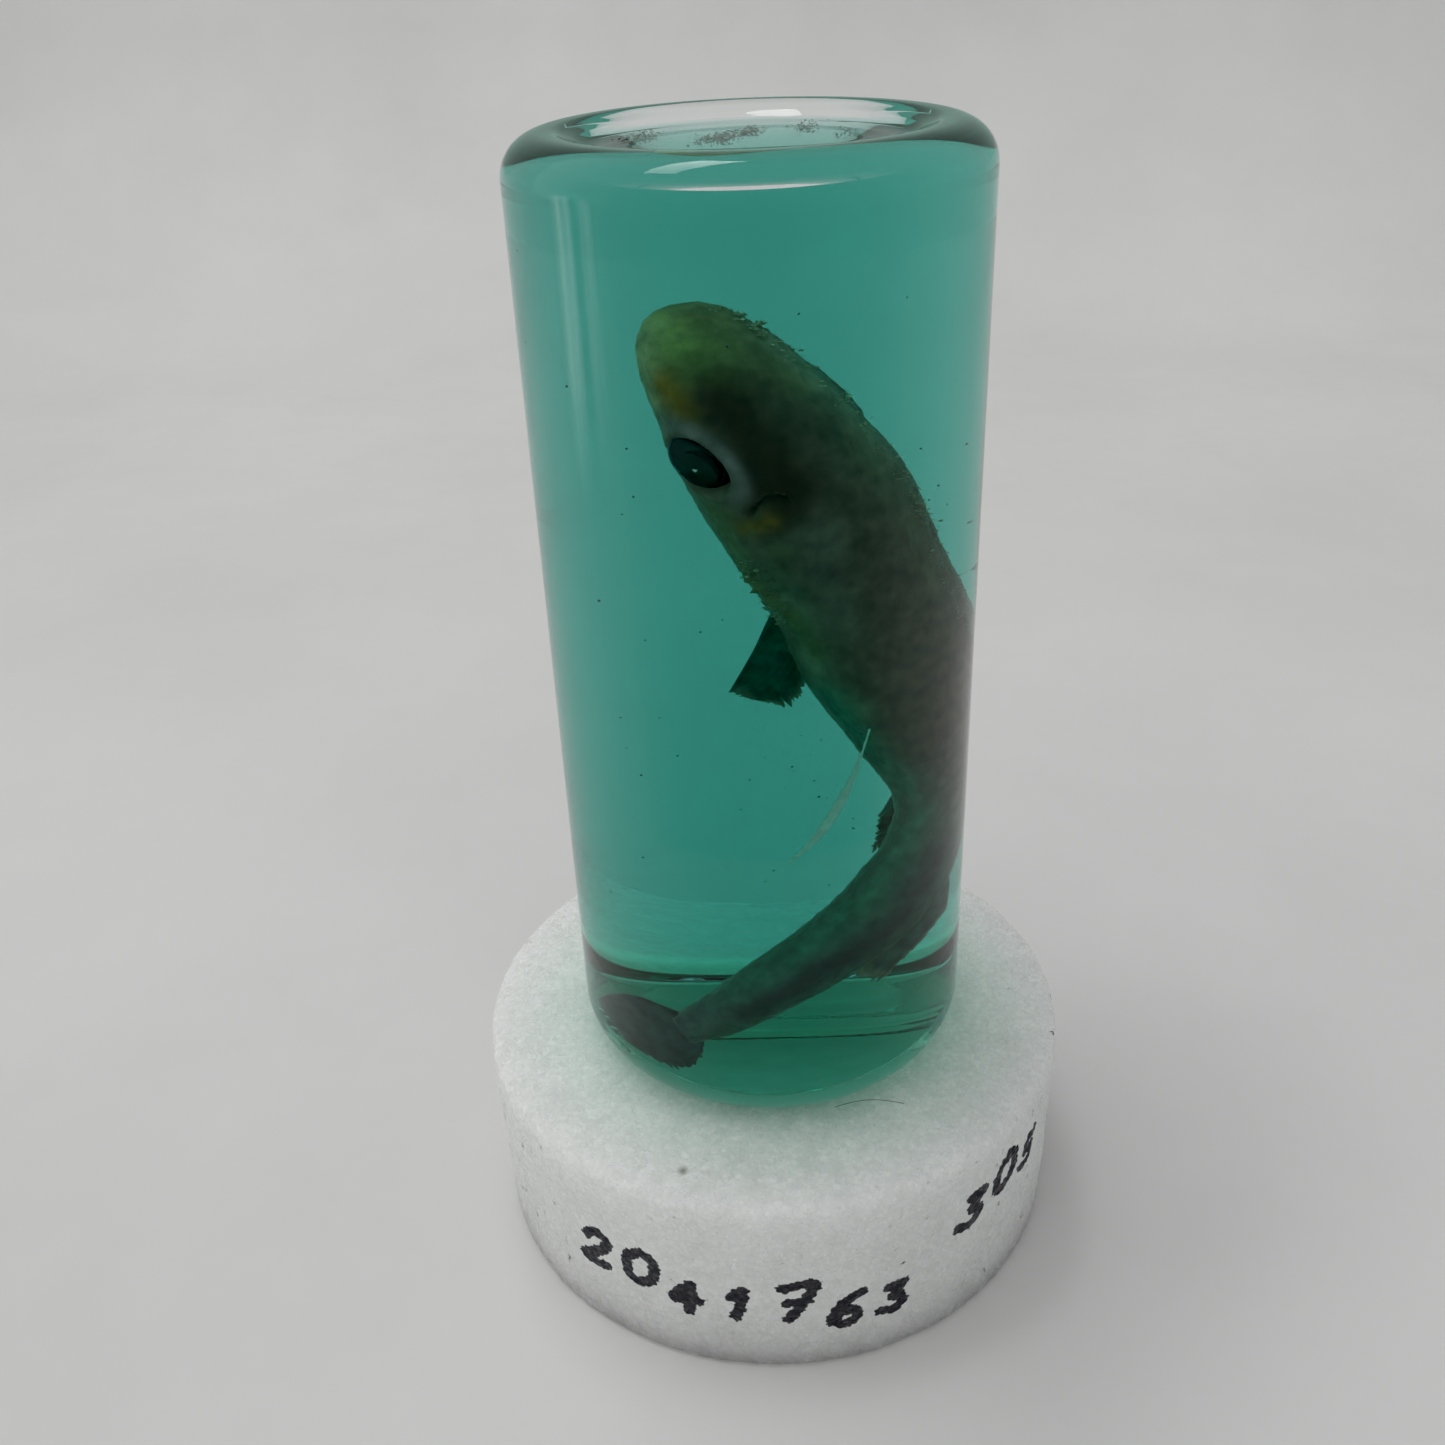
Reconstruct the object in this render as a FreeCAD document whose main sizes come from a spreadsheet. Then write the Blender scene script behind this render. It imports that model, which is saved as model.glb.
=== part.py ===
"""Specimen jar: an inverted glass bottle of preserving liquid and a dogfish pup, stood in a foam disc.

Millimetres, +Z up. The origin is the centre of the foam disc's underside. -Y is the front.
"""
import FreeCAD, Part
import os

import Sketcher

DRIVING_DIMENSIONS = {
    # foam disc
    "foam_bottom_radius": 53.3,
    "foam_top_radius": 54.0,
    "foam_height": 39.0,
    "foam_edge_chamfer": 1.6,
    "socket_radius": 28.7,
    "seat_gap": 0.3,
    # bottle
    "jar_radius": 35.0,
    "jar_top": 195.2,
    "wall": 2.2,
    "heel_radius": 6.0,
    "ceiling": 191.4,
    "ceiling_edge_radius": 4.0,
    "recess_radius": 26.7,
    "recess_floor_radius": 23.3,
    "recess_depth": 2.4,
    "push_up_radius": 220.0,
    "push_up_rise": 3.2,
    "dome_rise": 1.2,
    "shoulder_centre_radius": 26.0,
    "shoulder_centre_height": 47.0,
    "shoulder_radius": 9.0,
    "neck_radius": 25.0,
    "mouth_radius": 22.4,
    "mouth_height": 25.4,
    # screw thread, cap and liner
    "thread_lead": 5.08,
    "thread_length": 5.6,
    "neck_bead_radius": 1.3,
    "neck_bead_start": 27.4,
    "cap_bead_radius": 1.2,
    "cap_bead_start": 29.43,
    "cap_radius": 28.0,
    "cap_bore_radius": 27.0,
    "cap_plate": 1.3,
    "cap_length": 14.2,
    "cap_flute_radius": 0.45,
    "liner_thickness": 1.0,
    "liner_radius": 26.6,
    # contents
    "liquid_gap": 0.3,
    "girth": 22.0,
    "eye_length": 9.4,
    "eye_height": 6.0,
    "eye_depth": 7.9,
    "fin_thickness": 1.2,
    "strand_thickness": 0.8,
}

CAP_FLUTES = 60

# The pup's spine from the snout to the tail stem: place, then half width and half depth as parts of the girth.
STATIONS = (
    ((-10.4, -2.0, 171.6), 0.10, 0.08),
    ((-9.3, -2.0, 170.0), 0.24, 0.18),
    ((-7.0, -2.0, 166.8), 0.35, 0.28),
    ((-3.5, -2.0, 161.2), 0.44, 0.37),
    ((1.3, -2.0, 152.0), 0.52, 0.47),
    ((6.4, -1.0, 141.3), 0.54, 0.52),
    ((10.8, 0.0, 129.5), 0.49, 0.49),
    ((14.8, 1.0, 116.5), 0.49, 0.48),
    ((19.8, 1.0, 103.5), 0.45, 0.44),
    ((23.2, 0.0, 91.0), 0.37, 0.36),
    ((22.0, -3.5, 80.5), 0.34, 0.33),
    ((16.0, -8.5, 71.5), 0.33, 0.32),
    ((8.8, -12.5, 65.4), 0.285, 0.275),
    ((0.6, -15.5, 59.9), 0.245, 0.235),
    ((-6.6, -17.0, 54.4), 0.21, 0.185),
    ((-13.0, -17.0, 50.0), 0.155, 0.13),
)

# Which way the pup's back faces: right, and partly to the front.
DORSAL_HINT = FreeCAD.Vector(0.75, -0.66, 0.0)
EYE_STATION = 4
EYE_REACH = 9.0
EYE_LEAD = 3.0
EYE_DROP = 1.0

# Fins: name, spine station, lift towards the back, side (1 is left), outline rearward and outward of the spine.
PECTORAL = ((-3.0, 6.0), (0.5, 10.5), (6.0, 15.0), (11.5, 20.0), (14.5, 17.5), (17.0, 14.0), (13.0, 10.0), (7.5, 7.0))
PELVIC = ((-4.0, 5.5), (3.0, 10.0), (11.0, 12.0), (11.5, 8.0), (4.0, 5.0))
DORSAL = ((-5.0, 7.0), (2.0, 12.0), (6.5, 13.0), (8.5, 9.5), (5.0, 7.0))
SECOND_DORSAL = ((-9.0, 5.0), (-3.5, 11.2), (1.5, 11.0), (4.5, 9.5), (8.0, 10.0), (11.3, 8.5), (12.0, 4.5), (6.0, 3.5))
FINS = (
    ("pectoral_fin_left", 6, -0.5, 0.85, PECTORAL),
    ("pectoral_fin_right", 6, -0.5, -0.85, PECTORAL),
    ("pelvic_fin_left", 9, -0.85, 0.5, PELVIC),
    ("pelvic_fin_right", 9, -0.85, -0.5, PELVIC),
    ("first_dorsal_fin", 7, 0.8, -0.6, DORSAL),
    ("second_dorsal_fin", 11, 0.75, -0.66, SECOND_DORSAL),
)
TAIL_REARWARD = FreeCAD.Vector(-0.86, 0.30, -0.41)
TAIL_UPWARD = FreeCAD.Vector(-0.35, 0.10, 0.93)
CAUDAL_OUTLINE = ((-3.5, 1.5), (4.0, 7.0), (14.5, 7.5), (16.0, 4.0), (12.0, -2.5), (8.5, -6.0), (4.0, -8.5),
                  (0.5, -6.5), (-3.0, -1.5))
STRAND_ARC = ((13.4, -8.6, 106.0), (9.4, -14.0, 94.0), (2.8, -13.0, 83.5))

doc = FreeCAD.newDocument("SpecimenJar")
sheet = doc.addObject("Spreadsheet::Sheet", "Sheet")


def fill_sheet():
    """Writes each driving dimension in its own row, with its name as the alias."""
    for row, (alias, value) in enumerate(DRIVING_DIMENSIONS.items(), start=1):
        sheet.set(f"A{row}", alias)
        sheet.set(f"B{row}", str(value))
        sheet.setAlias(f"B{row}", alias)
    doc.recompute()


def bind(item, sizes):
    """Binds properties of an object to expressions in the sheet's aliases."""
    for prop, expression in sizes.items():
        item.setExpression(prop, expression)
    return item


def primitive(kind, name, sizes):
    """A Part primitive with every size bound; a key such as 'z' raises it."""
    item = doc.addObject(f"Part::{kind}", name)
    if "z" in sizes:
        sizes = dict(sizes)
        item.setExpression("Placement.Base.z", sizes.pop("z"))
    return bind(item, sizes)


def cylinder(name, radius, bottom, top):
    return primitive("Cylinder", name, {"Radius": radius, "Height": f"({top}) - ({bottom})", "z": bottom})


def cone(name, bottom_radius, top_radius, bottom, top):
    sizes = {"Radius1": bottom_radius, "Radius2": top_radius, "Height": f"({top}) - ({bottom})", "z": bottom}
    return primitive("Cone", name, sizes)


def torus(name, ring_radius, tube_radius, level):
    return primitive("Torus", name, {"Radius1": ring_radius, "Radius2": tube_radius, "z": level})


def fused(name, pieces):
    result = doc.addObject("Part::MultiFuse", name)
    result.Shapes = pieces
    result.Refine = True
    return result


def cut(name, base, tool):
    result = doc.addObject("Part::Cut", name)
    result.Base = base
    result.Tool = tool
    return result


def foam_base():
    """The disc: slightly wider at the top, chamfered edges, a through socket with a coved rim for the shoulder."""
    edge = "Sheet.foam_edge_chamfer"
    bottom = "Sheet.foam_bottom_radius"
    top = "Sheet.foam_top_radius"
    height = "Sheet.foam_height"
    foot = cone("FoamFoot", f"{bottom} - {edge}", bottom, "0", edge)
    drum = cone("FoamDrum", bottom, top, edge, f"{height} - {edge}")
    rim = cone("FoamRim", top, f"{top} - {edge}", f"{height} - {edge}", height)
    disc = fused("FoamDisc", [foot, drum, rim])
    hole = cylinder("SocketHole", "Sheet.socket_radius", "-1", f"{height} + 1")
    cove = torus("SocketCove", "Sheet.shoulder_centre_radius", "Sheet.shoulder_radius + Sheet.seat_gap",
                 "Sheet.shoulder_centre_height")
    return cut("foam_base", disc, fused("SocketTool", [hole, cove]))


def bottle_outside():
    """The bottle as if solid: body, heel, shoulder and neck."""
    heel = "Sheet.heel_radius"
    heel_level = "Sheet.jar_top - Sheet.heel_radius"
    centre = "Sheet.shoulder_centre_height"
    return fused("BottleOutside", [
        cylinder("BottleBody", "Sheet.jar_radius", centre, heel_level),
        torus("BottleHeel", f"Sheet.jar_radius - {heel}", heel, heel_level),
        cylinder("BottleFoot", f"Sheet.jar_radius - {heel}", heel_level, "Sheet.jar_top"),
        torus("BottleShoulder", "Sheet.shoulder_centre_radius", "Sheet.shoulder_radius", centre),
        cylinder("BottleShoulderCore", "Sheet.shoulder_centre_radius", f"{centre} - Sheet.shoulder_radius", centre),
        cylinder("BottleNeck", "Sheet.neck_radius", "Sheet.mouth_height", centre),
    ])


def bottle_inside(prefix, gap, lowest):
    """The bottle's hollow, drawn in by gap, from the level lowest in the neck up to the pushed-up base."""
    radius = f"Sheet.jar_radius - Sheet.wall - {gap}"
    edge = "Sheet.ceiling_edge_radius"
    ceiling = f"Sheet.ceiling - {gap}"
    edge_level = f"{ceiling} - {edge}"
    centre = "Sheet.shoulder_centre_height"
    bend = f"Sheet.shoulder_radius - Sheet.wall - {gap}"
    hollow = fused(f"{prefix}Drum", [
        cylinder(f"{prefix}Body", radius, centre, edge_level),
        torus(f"{prefix}Edge", f"{radius} - {edge}", edge, edge_level),
        cylinder(f"{prefix}Top", f"{radius} - {edge}", edge_level, ceiling),
        torus(f"{prefix}Bend", "Sheet.shoulder_centre_radius", bend, centre),
        cylinder(f"{prefix}Floor", "Sheet.shoulder_centre_radius", f"{centre} - ({bend})", centre),
        cylinder(f"{prefix}Throat", f"Sheet.mouth_radius - {gap}", lowest, centre),
    ])
    push_up = primitive("Sphere", f"{prefix}PushUp", {
        "Radius": "Sheet.push_up_radius",
        "z": f"{ceiling} - Sheet.push_up_rise + Sheet.push_up_radius",
    })
    return cut(f"{prefix}Hollow", hollow, push_up)


def base_recess():
    """The shallow dish in the bottle's base, uppermost when the bottle stands on its mouth."""
    floor = "Sheet.jar_top - Sheet.recess_depth"
    dish = cone("RecessDish", "Sheet.recess_floor_radius", "Sheet.recess_radius", floor, "Sheet.jar_top")
    lid = cylinder("RecessLid", "Sheet.recess_radius", "Sheet.jar_top", "Sheet.jar_top + 1")
    sag = cylinder("RecessSag", "Sheet.recess_floor_radius", f"{floor} - 2", floor)
    dome = primitive("Sphere", "RecessDome", {
        "Radius": "Sheet.push_up_radius",
        "z": f"{floor} - Sheet.dome_rise + Sheet.push_up_radius",
    })
    bowl = doc.addObject("Part::Common", "RecessBowl")
    bowl.Base = sag
    bowl.Tool = dome
    return fused("Recess", [dish, lid, bowl])


def thread_bead(name, bead_radius, path_radius, start):
    """A right-handed round bead, as moulded on glass: one circle swept along a helix."""
    path = doc.addObject("Part::Helix", f"{name}Path")
    bind(path, {
        "Pitch": "Sheet.thread_lead",
        "Height": "Sheet.thread_length",
        "Radius": path_radius,
        "Placement.Base.z": start,
    })
    section = doc.addObject("Part::Circle", f"{name}Section")
    bind(section, {"Radius": bead_radius, "Placement.Base.x": path_radius, "Placement.Base.z": start})
    section.Placement.Rotation = FreeCAD.Rotation(FreeCAD.Vector(1, 0, 0), 90)
    bead = doc.addObject("Part::Sweep", name)
    bead.Sections = [section]
    bead.Spine = (path, ["Edge1"])
    bead.Solid = True
    bead.Frenet = True
    return bead


def glass_jar():
    """The blown bottle with its thread; the hollow and the base recess are cut from the solid form."""
    bead = thread_bead("NeckBead", "Sheet.neck_bead_radius", "Sheet.neck_radius", "Sheet.neck_bead_start")
    solid = fused("BottleSolid", [bottle_outside(), bead])
    hollow = bottle_inside("Cavity", "0", "Sheet.mouth_height - 1")
    recessed = cut("BottleRecessed", solid, base_recess())
    return cut("glass_jar", recessed, hollow)


def origin_plane(body, role):
    for feature in body.Origin.OriginFeatures:
        if feature.Role == role:
            return feature
    raise ValueError(role)


def circle_sketch(body, name, radius, centre_x, level):
    """A sketch on the body's XY plane, raised to a level, with one bound circle on the X axis."""
    sketch = body.newObject("Sketcher::SketchObject", name)
    sketch.AttachmentSupport = [(origin_plane(body, "XY_Plane"), "")]
    sketch.MapMode = "FlatFace"
    sketch.setExpression("AttachmentOffset.Base.z", level)
    centre = FreeCAD.Vector(10.0, 0, 0) if centre_x else FreeCAD.Vector(0, 0, 0)
    sketch.addGeometry(Part.Circle(centre, FreeCAD.Vector(0, 0, 1), 1.0))
    sketch.addConstraint(Sketcher.Constraint("Radius", 0, 1.0))
    sketch.renameConstraint(0, "ring")
    sketch.setExpression("Constraints.ring", radius)
    if centre_x:
        sketch.addConstraint(Sketcher.Constraint("PointOnObject", 0, 3, -1))
        sketch.addConstraint(Sketcher.Constraint("DistanceX", -1, 1, 0, 3, 10.0))
        sketch.renameConstraint(2, "reach")
        sketch.setExpression("Constraints.reach", centre_x)
    else:
        sketch.addConstraint(Sketcher.Constraint("Coincident", 0, 3, -1, 1))
    return sketch


def cap_shell():
    """The cap's cup, mouth upwards: a padded disc, a bored pocket and a ring of grip flutes."""
    body = doc.addObject("PartDesign::Body", "CapShell")
    disc = circle_sketch(body, "CapDisc", "Sheet.cap_radius", None, "0")
    pad = body.newObject("PartDesign::Pad", "CapPad")
    pad.Profile = disc
    pad.setExpression("Length", "Sheet.cap_length")
    bore = circle_sketch(body, "CapBore", "Sheet.cap_bore_radius", None, "Sheet.cap_length")
    pocket = body.newObject("PartDesign::Pocket", "CapPocket")
    pocket.Profile = bore
    pocket.setExpression("Length", "Sheet.cap_length - Sheet.cap_plate")
    flute = circle_sketch(body, "CapFlute", "Sheet.cap_flute_radius", "Sheet.cap_radius", "Sheet.cap_length")
    groove = body.newObject("PartDesign::Pocket", "CapGroove")
    groove.Profile = flute
    groove.Type = "ThroughAll"
    doc.recompute()
    ring = body.newObject("PartDesign::PolarPattern", "CapFlutes")
    ring.Originals = [groove]
    ring.Axis = (bore, ["N_Axis"])
    ring.Angle = 360
    ring.Occurrences = CAP_FLUTES
    body.Tip = ring
    body.setExpression("Placement.Base.z", "Sheet.mouth_height - Sheet.liner_thickness - Sheet.cap_plate")
    return body


def screw_cap():
    bead = thread_bead("CapBead", "Sheet.cap_bead_radius", "Sheet.cap_bore_radius", "Sheet.cap_bead_start")
    envelope = cylinder("CapEnvelope", "Sheet.cap_radius - 0.6", "Sheet.mouth_height", "Sheet.jar_top")
    inner_bead = doc.addObject("Part::Common", "CapBeadInside")
    inner_bead.Base = bead
    inner_bead.Tool = envelope
    return fused("screw_cap", [cap_shell(), inner_bead])


def cap_liner():
    return cylinder("cap_liner", "Sheet.liner_radius", "Sheet.mouth_height - Sheet.liner_thickness",
                    "Sheet.mouth_height")


def unit(vector):
    return FreeCAD.Vector(vector).normalize()


def spine_frame(index):
    """Place, forward, dorsal and left directions of the pup at one station."""
    place = FreeCAD.Vector(*STATIONS[index][0])
    ahead = FreeCAD.Vector(*STATIONS[max(index - 1, 0)][0])
    behind = FreeCAD.Vector(*STATIONS[min(index + 1, len(STATIONS) - 1)][0])
    forward = unit(ahead - behind)
    dorsal = unit(DORSAL_HINT - forward * DORSAL_HINT.dot(forward))
    return place, forward, dorsal, dorsal.cross(forward)


def frame_rotation(x_axis, y_axis):
    """The rotation that carries X to x_axis and Y as near as it can to y_axis."""
    z_axis = unit(x_axis.cross(y_axis))
    return FreeCAD.Rotation(unit(x_axis), z_axis.cross(unit(x_axis)), z_axis, "XYZ")


def body_loft():
    """The pup's trunk: a loft through an ellipse at each station of the spine."""
    sections = []
    for index, (_, half_width, half_depth) in enumerate(STATIONS):
        place, forward, dorsal, left = spine_frame(index)
        ring = doc.addObject("Part::Ellipse", f"Station{index}")
        bind(ring, {
            "MajorRadius": f"Sheet.girth * {half_width}",
            "MinorRadius": f"Sheet.girth * {half_depth}",
        })
        ring.Placement = FreeCAD.Placement(place, frame_rotation(left, dorsal))
        sections.append(ring)
    loft = doc.addObject("Part::Loft", "Trunk")
    loft.Sections = sections
    loft.Solid = True
    return loft


def eye(label, side):
    """A flattened ball let into the side of the head; side is 1 for left and -1 for right."""
    place, forward, dorsal, left = spine_frame(EYE_STATION)
    centre = place + left * (side * EYE_REACH) + forward * EYE_LEAD - dorsal * EYE_DROP
    ball = doc.addObject("Part::Ellipsoid", label)
    bind(ball, {
        "Radius1": "Sheet.eye_height / 2",
        "Radius2": "Sheet.eye_length / 2",
        "Radius3": "Sheet.eye_depth / 2",
    })
    ball.Placement = FreeCAD.Placement(centre, frame_rotation(forward, dorsal.cross(forward)))
    return ball


def fin_blade(label, base, rearward, outward, outline):
    """A flat fin: an outline in millimetres rearward and outward of its base, padded to the fin's thickness."""
    body = doc.addObject("PartDesign::Body", f"{label}_blade")
    sketch = body.newObject("Sketcher::SketchObject", f"{label}_outline")
    sketch.AttachmentSupport = [(origin_plane(body, "XY_Plane"), "")]
    sketch.MapMode = "FlatFace"
    sketch.setExpression("AttachmentOffset.Base.z", "-Sheet.fin_thickness / 2")
    corners = [FreeCAD.Vector(x, y, 0) for x, y in outline]
    for start, end in zip(corners, corners[1:] + corners[:1]):
        sketch.addGeometry(Part.LineSegment(start, end))
    count = len(corners)
    for index in range(count):
        sketch.addConstraint(Sketcher.Constraint("Coincident", index, 2, (index + 1) % count, 1))
    pad = body.newObject("PartDesign::Pad", f"{label}_pad")
    pad.Profile = sketch
    pad.setExpression("Length", "Sheet.fin_thickness")
    body.Placement = FreeCAD.Placement(base, frame_rotation(rearward, outward))
    return body


def fin(label, station, lift, side, outline, trunk):
    """A fin that leaves the trunk at a station, lifted towards the back and out to one side, trimmed to the skin."""
    place, forward, dorsal, left = spine_frame(station)
    outward = unit(dorsal * lift + left * side)
    blade = fin_blade(label, place, forward * -1, outward, outline)
    return cut(label, blade, trunk)


def caudal_fin(trunk):
    """The tail fin: a long upper lobe and a short lower one."""
    place = FreeCAD.Vector(*STATIONS[-1][0])
    blade = fin_blade("caudal_fin", place, TAIL_REARWARD, TAIL_UPWARD, CAUDAL_OUTLINE)
    return cut("caudal_fin", blade, trunk)


def tissue_strand(trunk):
    """A thin strand of tissue that hangs from the belly in one gentle arc, trimmed to the skin."""
    radius = sheet.get("strand_thickness") / 2
    start, middle, end = (FreeCAD.Vector(*point) for point in STRAND_ARC)
    arc = Part.Arc(start, middle, end)
    path = Part.Wire([arc.toShape()])
    tangent = arc.tangent(arc.FirstParameter)[0]
    section = Part.Wire([Part.makeCircle(radius, start, tangent)])
    strand = doc.addObject("Part::Feature", "StrandPipe")
    strand.Shape = path.makePipeShell([section], True, True)
    return cut("tissue_strand", strand, trunk)


def contents():
    """The pup, its fins and eyes, the strand, and the liquid that fills the rest of the bottle."""
    trunk = body_loft()
    eyes = [eye("eye_left", 1), eye("eye_right", -1)]
    sockets = fused("EyeSockets", eyes)
    specimen = cut("specimen_body", trunk, sockets)
    pieces = [specimen] + eyes
    for label, station, lift, side, outline in FINS:
        pieces.append(fin(label, station, lift, side, outline, trunk))
    pieces.append(caudal_fin(trunk))
    pieces.append(tissue_strand(trunk))
    filling = bottle_inside("Liquid", "Sheet.liquid_gap", "Sheet.mouth_height + Sheet.liquid_gap")
    liquid = cut("preserving_fluid", filling, fused("Displaced", pieces))
    return pieces + [liquid]


def check(item):
    """Stops the build on a failed feature or a bad shape."""
    for feature in doc.Objects:
        if "Invalid" in feature.State or "Error" in feature.State:
            raise RuntimeError(f"{feature.Name}: {feature.State}")
    shape = item.Shape
    if shape.isNull() or not shape.isValid() or not shape.Solids:
        raise RuntimeError(f"{item.Name}: bad shape")
    print(f"{item.Name:20s} {len(shape.Solids)} solid(s) {shape.Volume / 1000:9.3f} cm3")


def main():
    fill_sheet()
    nodes = [foam_base(), glass_jar(), screw_cap(), cap_liner()] + contents()
    doc.recompute()
    for node in nodes:
        node.Label = node.Name
        check(node)
    os.makedirs("parts", exist_ok=True)
    for node in nodes:
        node.Shape.exportStep(f"parts/{node.Label}.step")


main()
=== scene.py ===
"""The looks of the specimen jar: glass, tinted liquid, a dogfish pup, and a foam stand with a marker number.

Lengths are worked out in millimetres and written in metres, in the row frame: +Z up, -Y the front.
"""
import math

import bmesh
import bpy
import numpy as np
from mathutils import Matrix, Vector, noise


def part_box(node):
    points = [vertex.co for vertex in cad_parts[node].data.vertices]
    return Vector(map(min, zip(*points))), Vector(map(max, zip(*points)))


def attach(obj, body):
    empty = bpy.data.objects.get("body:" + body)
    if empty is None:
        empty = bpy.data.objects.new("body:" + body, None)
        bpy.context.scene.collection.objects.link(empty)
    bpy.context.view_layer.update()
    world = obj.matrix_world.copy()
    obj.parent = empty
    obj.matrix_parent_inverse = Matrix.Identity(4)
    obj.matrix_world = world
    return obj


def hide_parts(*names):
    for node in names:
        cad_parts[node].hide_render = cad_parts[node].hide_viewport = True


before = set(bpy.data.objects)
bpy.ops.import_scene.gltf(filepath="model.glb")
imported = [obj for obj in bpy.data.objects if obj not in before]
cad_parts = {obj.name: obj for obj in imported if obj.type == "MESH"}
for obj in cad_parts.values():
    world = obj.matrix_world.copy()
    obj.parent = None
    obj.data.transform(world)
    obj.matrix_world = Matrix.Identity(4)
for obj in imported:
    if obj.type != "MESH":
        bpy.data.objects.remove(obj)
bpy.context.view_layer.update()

MM = 0.001

# Sizes read from the frame, in millimetres.
JAR_LOW, JAR_HIGH = (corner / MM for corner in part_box("glass_jar"))
FOAM_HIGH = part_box("foam_base")[1] / MM
JAR_RADIUS = JAR_HIGH.x
JAR_TOP = JAR_HIGH.z
MOUTH = JAR_LOW.z
FOAM_HEIGHT = FOAM_HIGH.z
FOAM_RADIUS = FOAM_HIGH.x

# The bottle's section.
WALL = 2.2
HEEL_RADIUS = 6.0
CEILING = JAR_TOP - 3.8
CEILING_EDGE = 4.0
RECESS_RADIUS = 26.7
RECESS_FLOOR_RADIUS = 23.3
RECESS_DEPTH = 2.4
DISH_SAG = 1.2
PUSH_UP_RADIUS = 220.0
PUSH_UP_RISE = 3.2
SHOULDER_RING = 26.0
SHOULDER_LEVEL = 47.0
SHOULDER_RADIUS = 9.0
NECK_RADIUS = 25.0
THROAT_RADIUS = 22.4
LIP_RADIUS = 0.8
LIP_BEVEL = 0.6
THREAD_LEAD = 5.08
THREAD_LENGTH = 5.6
THREAD_START = 27.4
BEAD_RADIUS = 1.3
# The liquid stands this far from the glass and from the liner.
LIQUID_FILM = 0.04
LIQUID_GAP = 0.3
# Faces above this level and inside this radius are the glass of the base and its recess.
BASE_LEVEL = CEILING - 9
RECESS_EDGE = 24.5

# The stand.
FOAM_TAPER = 0.7
FOAM_EDGE = 1.6
SOCKET_RADIUS = 28.7
SEAT_GAP = 0.3

# How glass, liquid and the step between them bend and tint the light.
GLASS_IOR = 1.5
LIQUID_IOR = 1.35
BASE_STEP = 1.01
LIQUID_DENSITY = 45.0
LIQUID_COLOUR = (0.08, 0.72, 0.65)

# Light that the real foam passes on to the socket and the cap, as a faint glow of their own.
SEEPING_LIGHT = (0.06, 0.165, 0.115, 1)
CAP_GLOW = 0.7
WHITE = (1, 1, 1, 1)
BLACK = (0, 0, 0, 1)

LIGHT_BOUNCES = 32
BLACK_LEVEL = 0.003
LATHE_STEPS = 288
FOAM_STEPS = 720


# ---- mesh helpers

def mesh_object(name, points, faces, smooth=True):
    """A mesh object from points in millimetres."""
    mesh = bpy.data.meshes.new(name)
    mesh.from_pydata([tuple(point) for point in np.asarray(points) * MM], [], faces)
    mesh.polygons.foreach_set("use_smooth", [smooth] * len(mesh.polygons))
    mesh.update()
    item = bpy.data.objects.new(name, mesh)
    bpy.context.scene.collection.objects.link(item)
    return item


def grid_faces(rows, columns, wrap, start=0):
    """Quads over a grid of points stored row by row."""
    last = columns if wrap else columns - 1
    faces = []
    for row in range(rows - 1):
        base = start + row * columns
        for column in range(last):
            right = (column + 1) % columns
            faces.append((base + column, base + right, base + columns + right, base + columns + column))
    return faces


def arc(centre_r, centre_z, radius, start, stop, steps):
    """Points (r, z) along an arc, angles in degrees from the outward direction."""
    angles = np.radians(np.linspace(start, stop, steps))
    return [(centre_r + radius * math.cos(a), centre_z + radius * math.sin(a)) for a in angles]


def line(start, stop, steps):
    """Points from start to stop with the first left out."""
    return [tuple(point) for point in np.linspace(start, stop, steps + 1)[1:]]


def capped_grid(rows, columns):
    """Quads over closed rings and a fan at each end; the two end points come after the rings' points."""
    end, base = rows * columns, (rows - 1) * columns
    faces = grid_faces(rows, columns, True)
    faces += [(end, (c + 1) % columns, c) for c in range(columns)]
    faces += [(end + 1, base + c, base + (c + 1) % columns) for c in range(columns)]
    return faces


def solid(name, points, faces):
    """A closed mesh object whose faces all look outward."""
    item = mesh_object(name, points, faces)
    mesh = bmesh.new()
    mesh.from_mesh(item.data)
    bmesh.ops.recalc_face_normals(mesh, faces=mesh.faces)
    mesh.to_mesh(item.data)
    mesh.free()
    return item


def lathe(name, profile, steps=LATHE_STEPS, shift=None):
    """Turns a profile (r, z) about Z; its ends lie on the axis or meet. shift moves the points first."""
    profile = np.array(profile)
    angles = np.linspace(0, 2 * math.pi, steps, endpoint=False)
    closed_ring = profile[0][0] > 0
    inner = profile if closed_ring else profile[1:-1]
    radius = inner[:, 0][:, None]
    level = np.repeat(inner[:, 1][:, None], steps, axis=1)
    points = np.stack([radius * np.sin(angles), -radius * np.cos(angles), level], axis=-1)
    if shift is not None:
        points = shift(points)
    rows = len(inner)
    flat = list(points.reshape(-1, 3))
    if closed_ring:
        faces = grid_faces(rows, steps, True)
        last = (rows - 1) * steps
        faces += [(last + c, last + (c + 1) % steps, (c + 1) % steps, c) for c in range(steps)]
    else:
        faces = capped_grid(rows, steps)
        flat += [(0, 0, profile[0][1]), (0, 0, profile[-1][1])]
    return solid(name, flat, faces)


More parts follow.
